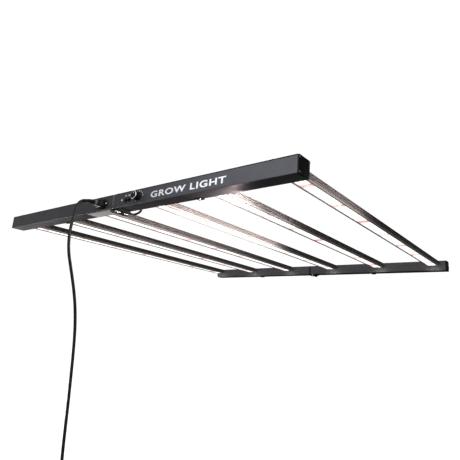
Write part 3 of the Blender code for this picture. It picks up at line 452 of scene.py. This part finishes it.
def turn_to(outward):
    """The rotation that takes +Z to a direction."""
    return Vector((0, 0, 1)).rotation_difference(Vector(outward)).to_matrix().to_4x4()


def circle_ring(radius, height, count, shape=None):
    """Points round +Z at a height, with an optional radius factor by angle."""
    points = []
    for i in range(count):
        angle = 2 * math.pi * i / count
        reach = radius * (shape(angle) if shape else 1)
        points.append(Vector((reach * math.cos(angle), reach * math.sin(angle), height)))
    return points


def box_ring(half_x, half_y, corner, height, count=8):
    """A rounded rectangle round +Z at a height."""
    points = []
    for sx, sy, start in ((1, 1, 0), (-1, 1, 90), (-1, -1, 180), (1, -1, 270)):
        for i in range(count + 1):
            angle = math.radians(start + 90 * i / count)
            points.append(Vector((sx * (half_x - corner) + corner * math.cos(angle),
                                  sy * (half_y - corner) + corner * math.sin(angle), height)))
    return points


def placed(rings, place, outward):
    matrix = Matrix.Translation(place) @ turn_to(outward)
    return [[matrix @ point for point in ring] for ring in rings]


# ---------------------------------------------------------------- mains lead

CORD_ROUTE = [
    (INLET_X, RELIEF_FACE - GAP, INLET_Z - RELIEF_SAG), (INLET_X, -0.6014, -0.0239),
    (INLET_X, -0.6104, -0.0265), (INLET_X, -0.6183, -0.0322), (INLET_X, -0.6237, -0.0403),
    (INLET_X, -0.6262, -0.0500), (INLET_X, -0.6279, -0.0640), (INLET_X, -0.6303, -0.0800),
    (INLET_X, -0.6322, -0.0970), (-0.0468, -0.6328, -0.1150), (-0.0469, -0.6312, -0.1400),
    (-0.0471, -0.6262, -0.1660), (-0.0473, -0.6170, -0.1940), (-0.0475, -0.6067, -0.2230),
    (-0.0477, -0.5965, -0.2536), (-0.0479, -0.5868, -0.2883), (-0.0481, -0.5791, -0.3261),
    (-0.0483, -0.5739, -0.3629), (-0.0485, -0.5701, -0.4028), (-0.0488, -0.5662, -0.4580),
    (-0.049, -0.5625, -0.5180), (-0.049, -0.5595, -0.5780), (-0.049, -0.5560, -0.6380),
    (-0.049, -0.5520, -0.6800), (-0.049, -0.5465, -0.7060), (-0.049, -0.5350, -0.7230),
    (-0.049, -0.5180, -0.7322), (-0.049, -0.5000, LANDING_Z), (-0.049, -0.4970, LANDING_Z)]


def coil_centre():
    entry_x, entry_y, _ = CORD_ROUTE[-1]
    outer_turn = COIL_RADIUS + CORD_RADIUS
    run = math.sqrt((COIL_RADIUS + 3 * CORD_RADIUS + 2 * GAP) ** 2 - outer_turn ** 2)
    return entry_x + outer_turn, entry_y + run


def eased(value, start, end):
    """0 before start, 1 after end, and a smooth step between."""
    t = min(max((value - start) / (end - start), 0), 1)
    return t * t * (3 - 2 * t)


def coil_turns():
    """Three and a half turns, clockwise from above: bottom outer, bottom inner, top inner, top outer."""
    x, y = coil_centre()
    bottom = FLOOR_Z + TIE_THICKNESS + GAP + CORD_RADIUS
    points = []
    for i in range(64):
        turned = 20 * i
        inward = eased(turned, 290, 345) - eased(turned, 930, 975)
        rise = eased(turned, 610, 650)
        radius = COIL_RADIUS + CORD_RADIUS - 2 * CORD_RADIUS * inward
        angle = math.radians(180 - turned)
        points.append((x + radius * math.cos(angle), y + radius * math.sin(angle),
                       bottom + 2 * CORD_RADIUS * rise))
    return points


def curve_piece(name, points, radius, material, resolution=6):
    data = bpy.data.curves.new(name, "CURVE")
    data.dimensions = "3D"
    data.bevel_depth = radius
    data.bevel_resolution = 5
    data.use_fill_caps = True
    data.resolution_u = resolution
    spline = data.splines.new("BEZIER")
    spline.bezier_points.add(len(points) - 1)
    for knot, point in zip(spline.bezier_points, points):
        knot.co = point
        knot.handle_left_type = knot.handle_right_type = "AUTO"
    data.materials.append(material)
    thing = bpy.data.objects.new(name, data)
    bpy.context.scene.collection.objects.link(thing)
    return thing


def make_connector():
    """Mains connector: a moulded body with grips, a grey collar and a ribbed, tapered strain relief."""
    centre = Vector((INLET_X, 0, INLET_Z))
    outward = (0, -1, 0)
    length = CONNECTOR_FACE - BODY_FACE
    reach = CONNECTOR_FACE - SHOULDER_FACE
    shape = bmesh.new()
    rings = [box_ring(0.0114, 0.0076, 0.002, -0.0150), box_ring(0.0117, 0.0079, 0.002, -0.0005),
             box_ring(0.0127, 0.0092, 0.003, 0), box_ring(0.0135, 0.0100, 0.003, 0.0008),
             box_ring(0.0135, 0.0100, 0.003, length - 0.0010),
             box_ring(0.0129, 0.0096, 0.003, length - 0.0001),
             box_ring(0.0104, 0.0085, 0.003, length + 0.0010),
             box_ring(0.0098, 0.0080, 0.003, reach - 0.0006),
             box_ring(0.0092, 0.0075, 0.003, reach)]
    ring_skin(shape, placed(rings, centre + Vector((0, CONNECTOR_FACE, 0)), outward))
    for side in (-1, 1):
        for i in range(4):
            y = CONNECTOR_FACE - 0.0022 - 0.0019 * i
            x = INLET_X + side * 0.0134
            block(shape, (min(x, x + side * 0.0004), y - 0.0009, INLET_Z - 0.006),
                  (max(x, x + side * 0.0004), y, INLET_Z + 0.006))
    body = piece("connector_body", shape, [LOOKS["black_plastic"]], "left_half")

    shape = bmesh.new()
    length = SHOULDER_FACE - BAND_FACE
    rings = [box_ring(0.0080, 0.0070, 0.003, 0.0001), box_ring(0.0080, 0.0070, 0.003, length - 0.0010),
             box_ring(0.0074, 0.0066, 0.003, length)]
    ring_skin(shape, placed(rings, centre + Vector((0, SHOULDER_FACE, 0)), outward))
    collar = piece("connector_collar", shape, [COLLAR], "left_half")

    shape = bmesh.new()
    sag = Vector((0, RELIEF_FACE - BAND_FACE, -RELIEF_SAG))
    rings = relief_rings(sag.length, 0.0066, 0.0048, 5)
    ring_skin(shape, placed(rings, centre + Vector((0, BAND_FACE - 0.0001, 0)), sag))
    relief = piece("connector_relief", shape, [LOOKS["black_plastic"]], "left_half")
    for part in (body, collar, relief):
        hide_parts("mains_connector")
    return [body, collar, relief]


def relief_rings(length, start, end, grooves):
    """Rings of a tapered strain relief with grooves across it."""
    rings = [circle_ring(start - 0.0004, 0, 32), circle_ring(start, 0.0005, 32)]
    pitch = (length - 0.004) / grooves
    for i in range(grooves):
        near = 0.002 + pitch * i
        for offset, depth in ((0.10, 0), (0.30, 0.0010), (0.60, 0.0010), (0.80, 0)):
            height = near + pitch * offset
            radius = start + (end - start) * height / length
            rings.append(circle_ring(radius - depth, height, 32))
    rings += [circle_ring(end, length - 0.0010, 32), circle_ring(end - 0.0005, length, 32)]
    return rings


def make_plug():
    """Three-pin plug beside the coil: a waisted body with a grip, a strain relief and its pins."""
    x, y = coil_centre()
    axis = Vector((x + COIL_RADIUS + CORD_RADIUS, 0, PLUG_AXIS_Z))
    outer = COIL_RADIUS + 2 * CORD_RADIUS
    start = y - math.sqrt((outer + 0.0052 + 2 * GAP) ** 2 - (COIL_RADIUS + CORD_RADIUS) ** 2)
    shoulder = start - PLUG_RELIEF_LENGTH
    outward = (0, -1, 0)
    shape = bmesh.new()
    rings = [box_ring(0.0086, 0.0086, 0.0060, 0), box_ring(0.0108, 0.0106, 0.0055, 0.0020),
             box_ring(0.0117, 0.0116, 0.0045, 0.0060), box_ring(0.0112, 0.0110, 0.0045, 0.0110),
             box_ring(0.0112, 0.0110, 0.0045, 0.0150), box_ring(0.0122, 0.0118, 0.0040, 0.0190),
             box_ring(0.0130, 0.0125, 0.0035, 0.0215), box_ring(0.0130, 0.0125, 0.0035, 0.0250),
             box_ring(0.0124, 0.0119, 0.0035, PLUG_BODY_LENGTH)]
    ring_skin(shape, placed(rings, axis + Vector((0, shoulder, 0)), outward))
    for side in (-1, 1):
        for i in range(4):
            near = shoulder - 0.0085 - 0.0022 * i
            inner = axis.x + side * 0.0108
            far = axis.x + side * 0.0119
            block(shape, (min(inner, far), near - 0.0010, axis.z - 0.006),
                  (max(inner, far), near, axis.z + 0.006))
    body = piece("plug_body", shape, [LOOKS["black_plastic"]], "left_half", 30)

    shape = bmesh.new()
    rings = relief_rings(PLUG_RELIEF_LENGTH, 0.0078, 0.0052, 6)
    ring_skin(shape, placed(rings, axis + Vector((0, shoulder, 0)), (0, 1, 0)))
    relief = piece("plug_relief", shape, [LOOKS["black_plastic"]], "left_half")

    shape = bmesh.new()
    face = shoulder - PLUG_BODY_LENGTH
    for side in (-1, 1):
        middle = axis.x + side * 0.0063
        block(shape, (middle - 0.00075, face - 0.0172, axis.z - 0.0062),
              (middle + 0.00075, face + 0.001, axis.z + 0.0001))
    pin = [circle_ring(0.0023, -0.001, 20), circle_ring(0.0023, 0.0175, 20), circle_ring(0.0019, 0.0192, 20),
           circle_ring(0.0011, 0.0200, 20)]
    ring_skin(shape, placed(pin, axis + Vector((0, face, 0.0070)), outward))
    pins = piece("plug_pins", shape, [LOOKS["brass"]], "left_half", bevel=0.0002)
    for part in (body, relief, pins):
        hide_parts("mains_plug")
    return [body, relief, pins], start


def make_mains_lead():
    connector = make_connector()
    plug, plug_start = make_plug()
    points = list(CORD_ROUTE) + [(-0.049, coil_centre()[1] - 0.012, LANDING_Z + 0.0006)] + coil_turns()
    end_x, _, end_z = points[-1]
    points += [(end_x, coil_centre()[1] - 0.014, end_z), (end_x, plug_start + 0.004, PLUG_AXIS_Z),
               (end_x, plug_start + 0.0005, PLUG_AXIS_Z)]
    lead = curve_piece("mains_lead", points, CORD_RADIUS, LOOKS["cord_rubber"])
    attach(lead, "left_half")
    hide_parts("mains_cord", "mains_cord_coil")


# ---------------------------------------------------------------- link cable

def make_link():
    """The jumper between the halves' glands."""
    y, z = GLAND_MOUTH, GLAND_Z
    route = [(GLAND_LEFT_X, y - 0.003, z), (GLAND_LEFT_X, y + 0.004, z),
             (GLAND_LEFT_X + 0.0018, y + 0.009, z - 0.0018),
             (GLAND_LEFT_X + 0.007, y + 0.013, z - 0.0058), (-0.002, y + 0.014, z - 0.0102),
             (0.006, y + 0.0125, z - 0.0128), (0.013, y + 0.012, z - 0.0135), (0.020, y + 0.0125, z - 0.0128),
             (0.028, y + 0.014, z - 0.0102), (GLAND_RIGHT_X - 0.007, y + 0.013, z - 0.0058),
             (GLAND_RIGHT_X - 0.0018, y + 0.009, z - 0.0018), (GLAND_RIGHT_X, y + 0.004, z),
             (GLAND_RIGHT_X, y - 0.003, z)]
    guide = curve_piece("link_guide", route, LINK_RADIUS, LOOKS["cord_rubber"], 8)
    mesh = bpy.data.meshes.new_from_object(guide.evaluated_get(bpy.context.evaluated_depsgraph_get()))
    bpy.data.objects.remove(guide)
    shape = bmesh.new()
    shape.from_mesh(mesh)
    bmesh.ops.remove_doubles(shape, verts=shape.verts, dist=0.00001)
    cable = piece("link_jumper", shape, [LOOKS["cord_rubber"]], None, 60)
    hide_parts("link_cable")
    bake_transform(cable)


# ---------------------------------------------------------------- controls

def make_knob():
    """Ribbed dimmer knob with a bright ring at its front edge and a white pointer."""
    place = (KNOB_X, KNOB_BASE, KNOB_Z)
    outward = (0, -1, 0)
    count = 180

    def ribbed(depth):
        return lambda angle: 1 - depth * (0.5 + 0.5 * math.cos(30 * angle)) ** 2

    rings = [circle_ring(KNOB_RADIUS - 0.0004, 0, count), circle_ring(KNOB_RADIUS, 0.0004, count),
             circle_ring(KNOB_RADIUS, 0.0016, count),
             circle_ring(KNOB_RADIUS - 0.0001, 0.0020, count, ribbed(0.02)),
             circle_ring(KNOB_RADIUS - 0.0001, 0.0026, count, ribbed(0.07)),
             circle_ring(KNOB_RADIUS - 0.0003, KNOB_LENGTH - 0.0030, count, ribbed(0.07)),
             circle_ring(KNOB_RADIUS - 0.0003, KNOB_LENGTH - 0.0025, count, ribbed(0.02)),
             circle_ring(KNOB_RADIUS - 0.0003, KNOB_LENGTH - 0.0020, count),
             circle_ring(KNOB_RADIUS - 0.0014, KNOB_LENGTH - 0.0012, count),
             circle_ring(KNOB_RADIUS - 0.0018, KNOB_LENGTH - 0.0002, count),
             circle_ring(KNOB_RADIUS - 0.0026, KNOB_LENGTH - 0.0004, count),
             circle_ring(0.0010, KNOB_LENGTH - 0.0009, count)]
    shape = bmesh.new()
    ring_skin(shape, placed(rings, place, outward))
    knob = piece("knob_body", shape, [LOOKS["black_plastic"]], "dimmer")
    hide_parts("dimmer_knob")

    shape = bmesh.new()
    section = [(KNOB_RADIUS - 0.0015, KNOB_LENGTH - 0.0014), (KNOB_RADIUS - 0.0002, KNOB_LENGTH - 0.0016),
               (KNOB_RADIUS - 0.0002, KNOB_LENGTH - 0.0012), (KNOB_RADIUS - 0.0011, KNOB_LENGTH - 0.0001),
               (KNOB_RADIUS - 0.0017, KNOB_LENGTH)]
    rings = [circle_ring(radius, height, 96) for radius, height in section]
    loops = [[shape.verts.new(point) for point in ring] for ring in placed(rings, place, outward)]
    for near, far in zip(loops, loops[1:] + loops[:1]):
        for i in range(len(near)):
            j = (i + 1) % len(near)
            shape.faces.new((near[i], near[j], far[j], far[i]))
    ring = piece("knob_ring", shape, [LOOKS["zinc"]], "dimmer", 25)
    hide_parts("dimmer_knob")

    shape = bmesh.new()
    front = KNOB_BASE - KNOB_LENGTH
    block(shape, (KNOB_X - 0.0006, front + 0.0003, KNOB_Z + 0.0030),
          (KNOB_X + 0.0006, front + 0.0010, KNOB_Z + 0.0074))
    pointer = piece("knob_pointer", shape, [WHITE_INK], "dimmer", bevel=0.0002)
    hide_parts("dimmer_knob")


def make_dial():
    """Printed scale round the knob: nine strokes over most of its turn, every fifth one longer."""
    shape = bmesh.new()
    for i in range(9):
        angle = math.radians(-135 + 27 * i)
        length = 0.0036 if i % 5 == 0 else 0.0030
        made = bmesh.ops.create_cube(shape, size=1.0)
        bmesh.ops.scale(shape, vec=(0.0019, 0.00012, length), verts=made["verts"])
        bmesh.ops.translate(shape, vec=(0, 0, 0.0130 + length / 2), verts=made["verts"])
        bmesh.ops.rotate(shape, cent=(0, 0, 0), matrix=Matrix.Rotation(angle, 3, "Y"),
                         verts=made["verts"])
        bmesh.ops.translate(shape, vec=(KNOB_X, FRONT - 0.00007, KNOB_Z), verts=made["verts"])
    piece("dial_marks", shape, [WHITE_INK], "right_half")


def make_lettering(name, words, size, stretch, spacing, x, z, weight):
    """Plain printed words on the front face, centred at x."""
    data = bpy.data.curves.new(name + "_guide", "FONT")
    data.body = words
    data.size = size
    data.space_character = spacing
    data.extrude = 0.00006
    data.offset = weight
    data.align_x = "CENTER"
    guide = bpy.data.objects.new(name + "_guide", data)
    bpy.context.scene.collection.objects.link(guide)
    mesh = bpy.data.meshes.new_from_object(guide.evaluated_get(bpy.context.evaluated_depsgraph_get()))
    bpy.data.objects.remove(guide)
    stretched = Matrix.Rotation(math.radians(90), 4, "X") @ Matrix.Diagonal((stretch, 1, 1, 1))
    mesh.transform(Matrix.Translation((x, FRONT - 0.00008, z)) @ stretched)
    shape = bmesh.new()
    shape.from_mesh(mesh)
    bmesh.ops.remove_doubles(shape, verts=shape.verts, dist=0.000001)
    piece(name, shape, [WHITE_INK], "right_half")


def make_jack_contacts():
    """Eight sprung contacts in the top of each modular socket."""
    for name in ("in", "out"):
        low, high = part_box("link_jack_" + name)
        middle = (low.x + high.x) / 2
        shape = bmesh.new()
        for i in range(8):
            x = middle + (i - 3.5) * 0.00102
            left, right = x - 0.00018, x + 0.00018
            block(shape, (left, low.y + 0.0016, JACK_Z + 0.0022), (right, high.y - 0.002, JACK_Z + 0.0026))
            block(shape, (left, high.y - 0.0024, JACK_Z - 0.0010), (right, high.y - 0.002, JACK_Z + 0.0026))
        piece("jack_contacts_" + name, shape, [GOLD], "right_half")


# ---------------------------------------------------------------- fasteners

def socket_head(shape, place, outward, radius, height):
    """Adds a domed screw head with a six-sided socket."""
    def six(angle):
        return math.cos(math.pi / 6) / math.cos((angle % (math.pi / 3)) - math.pi / 6)

    count = 24
    rings = [circle_ring(radius, 0, count), circle_ring(radius, height * 0.35, count),
             circle_ring(radius * 0.93, height * 0.68, count),
             circle_ring(radius * 0.78, height * 0.90, count),
             circle_ring(radius * 0.60, height, count), circle_ring(radius * 0.50, height, count, six),
             circle_ring(radius * 0.47, height * 0.95, count, six),
             circle_ring(radius * 0.45, height * 0.40, count, six)]
    ring_skin(shape, placed(rings, place, outward))


def make_fasteners():
    """The repeated screw heads, one piece for each kind and half."""
    groups = {}

    def add(name, body, slot, head, place, outward):
        shape = groups.setdefault((name, body, slot), bmesh.new())
        socket_head(shape, place, outward, *head)

    for word, side in (("left", -1), ("right", 1)):
        body = word + "_half"
        end = side * HALF_LENGTH
        rail_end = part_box("rail_end_cap_" + word)[1 if side > 0 else 0].x
        hinge_x = side * HINGE_SCREW_X + (HINGE_X if side > 0 else 0)
        for y in (FRONT + CAP_SCREW_INSET, BACK - CAP_SCREW_INSET):
            for z in (-0.0347, -0.0052):
                add("cap_screws_" + word, body, "charcoal_paint", SMALL_HEAD, (end, y, z), (side, 0, 0))
            for x in (0.060, 0.490):
                add("cover_screws_" + word, body, "black_paint", SMALL_HEAD, (side * x, y, 0), (0, 0, 1))
        for y in (0.5183, 0.5497):
            add("cap_screws_" + word, body, "charcoal_paint", SMALL_HEAD, (rail_end, y, -0.0275),
                (side, 0, 0))
        for centre in (0.1065, 0.3095, 0.5125):
            for offset in (-0.0062, 0.0062):
                place = (side * centre + offset, REAR, BAR_BOLT_Z)
                add("bar_bolts_" + word, body, "zinc", SMALL_HEAD, place, (0, 1, 0))
        for middle in (FRONT + 0.021, REAR - 0.019):
            for offset in (-0.0105, 0.0105):
                place = (hinge_x, middle + offset, HINGE_SCREW_Z)
                add("hinge_screws_" + word, body, "black_paint", HINGE_HEAD, place, (0, 0, -1))
        for y, z in ((BACK - 0.006, -0.0398), (REAR - 0.032, -0.0438)):
            place = (side * HANGER_X, y, z)
            add("hanger_screws_" + word, body, "zinc", SMALL_HEAD, place, (0, 0, -1))
    for (name, body, slot), shape in groups.items():
        piece(name, shape, [LOOKS[slot]], body, 40)


# ---------------------------------------------------------------- LED chips

def chip(shape, x, y, top, window):
    """Adds one package: a white frame and its glowing window, facing down."""
    half, height = 0.0015, 0.0007
    rings = [box_ring(half, half, 0.0003, 0, 1), box_ring(half, half, 0.0003, height, 1),
             box_ring(half * 0.76, half * 0.76, 0.0003, height, 1),
             box_ring(half * 0.70, half * 0.70, 0.0003, height * 0.8, 1)]
    faces = ring_skin(shape, placed(rings, (x, y, top), (0, 0, -1)))
    faces[-1].material_index = window


def make_chips():
    """Three rows of packages on each board, all red at every red patch."""
    for number, centre in BAR_CENTRES.items():
        low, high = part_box("led_board_%d" % number)
        body = "left_half" if centre < 0 else "right_half"
        shape = bmesh.new()
        count = int((high.y - low.y - CHIP_MARGIN) / CHIP_PITCH) + 1
        start = (low.y + high.y - (count - 1) * CHIP_PITCH) / 2
        for i in range(count):
            y = start + i * CHIP_PITCH
            nearest = round((y - RED_START) / RED_PITCH) * RED_PITCH + RED_START
            red = abs(y - nearest) < CHIP_PITCH / 2
            for row in CHIP_ROWS:
                chip(shape, centre + row, y, low.z, 2 if red else 1)
        piece("led_chips_%d" % number, shape, [PACKAGE, WARM_CHIP, RED_CHIP], body, 20)


# ---------------------------------------------------------------- studio

def area_light(name, place, aim, size, power, colour=(1, 1, 1), spread=180):
    data = bpy.data.lights.new(name, "AREA")
    data.shape = "RECTANGLE"
    data.size, data.size_y = size
    data.energy = power
    data.color = colour
    data.spread = math.radians(spread)
    light = bpy.data.objects.new(name, data)
    light.location = place
    light.rotation_euler = (Vector(aim) - Vector(place)).to_track_quat("-Z", "Y").to_euler()
    light.visible_camera = False
    bpy.context.scene.collection.objects.link(light)


def make_studio():
    """A pale floor, a white backdrop all round, and soft lights that leave the right-hand side darker."""
    shape = bmesh.new()
    bmesh.ops.create_grid(shape, x_segments=4, y_segments=4, size=14)
    bmesh.ops.translate(shape, vec=(0, 0, FLOOR_Z - 0.0002), verts=shape.verts)
    mesh = bpy.data.meshes.new("floor")
    shape.to_mesh(mesh)
    shape.free()
    mesh.materials.append(pale_floor("floor"))
    floor = bpy.data.objects.new("floor", mesh)
    floor.visible_diffuse = False
    floor.visible_glossy = False
    bpy.context.scene.collection.objects.link(floor)

    world = bpy.data.worlds.new("studio")
    world.use_nodes = True
    tree = world.node_tree
    backdrop = tree.nodes["Background"]
    backdrop.inputs["Color"].default_value = (1, 1, 1, 1)
    backdrop.inputs["Strength"].default_value = 1.05
    soft = tree.nodes.new("ShaderNodeBackground")
    place = tree.nodes.new("ShaderNodeTexCoord")
    split = tree.nodes.new("ShaderNodeSeparateXYZ")
    tree.links.new(place.outputs["Generated"], split.inputs[0])

    def fade(axis, start, end, low, high):
        node = tree.nodes.new("ShaderNodeMapRange")
        tree.links.new(split.outputs[axis], node.inputs["Value"])
        for name, value in (("From Min", start), ("From Max", end), ("To Min", low), ("To Max", high)):
            node.inputs[name].default_value = value
        return node.outputs["Result"]

    def times(first, second):
        node = tree.nodes.new("ShaderNodeMath")
        node.operation = "MULTIPLY"
        tree.links.new(first, node.inputs[0])
        tree.links.new(second, node.inputs[1])
        return node.outputs[0]

    sides = times(fade("X", -0.2, 0.8, 0.45, 1.60), fade("Y", -0.2, 0.5, 1.0, 0.07))
    tree.links.new(times(sides, fade("Z", -0.35, 0.25, 0.05, 1.0)), soft.inputs["Strength"])
    paths = tree.nodes.new("ShaderNodeLightPath")
    mix = tree.nodes.new("ShaderNodeMixShader")
    tree.links.new(paths.outputs["Is Camera Ray"], mix.inputs[0])
    tree.links.new(soft.outputs[0], mix.inputs[1])
    tree.links.new(backdrop.outputs[0], mix.inputs[2])
    tree.links.new(mix.outputs[0], tree.nodes["World Output"].inputs["Surface"])
    bpy.context.scene.world = world

    area_light("right_light", (0.40, -0.98, 0.10), (0.36, FRONT, -0.02), (0.2, 0.2), 0.42,
               (0.90, 0.94, 1.0), 85)
    area_light("low_left_light", (-0.95, -0.55, -0.65), (-0.5, -0.53, -0.04), (0.3, 0.3), 7.4,
               (1.0, 0.96, 0.92))
    for name, bar, start, end, power in (("glow_4", 4, -0.47, 0.05, 1.20),
                                         ("glow_5_near", 5, -0.51, -0.40, 0.50),
                                         ("glow_5_far", 5, -0.42, -0.20, 0.16),
                                         ("glow_6", 6, -0.50, -0.20, 0.22)):
        x = BAR_CENTRES[bar]
        middle = (start + end) / 2
        area_light(name, (x + 0.09, middle, -0.050), (x, middle, -0.018), (end - start, 0.02), power,
                   (1.0, 0.88, 0.86), 130)
    area_light("under_glow", (0.36, -0.50, -0.085), (0.335, -0.53, -0.038), (0.10, 0.02), 0.06,
               (1.0, 0.80, 0.76))
    for bar, x in BAR_CENTRES.items():
        area_light("rail_glow_%d" % bar, (x, RAIL_FRONT - 0.030, -0.050), (x + 0.005, RAIL_FRONT, -0.034),
                   (0.03, 0.01), 0.012, (1.0, 0.90, 0.84))
    bpy.context.scene.view_settings.view_transform = "Standard"


# ---------------------------------------------------------------- the whole light

make_camera()
make_mains_lead()
dress_nodes()
make_link()
make_knob()
make_dial()
make_lettering("front_lettering", "GROW LIGHT", 0.0210, 1.62, 1.12, 0.262, -0.0285, 0.0005)
make_lettering("jack_mark_in", "IN", 0.0056, 1.0, 1.05, 0.0516, -0.0125, 0.0003)
make_lettering("jack_mark_out", "OUT", 0.0056, 1.0, 1.05, 0.0664, -0.0125, 0.0003)
make_jack_contacts()
make_fasteners()
make_chips()
make_studio()
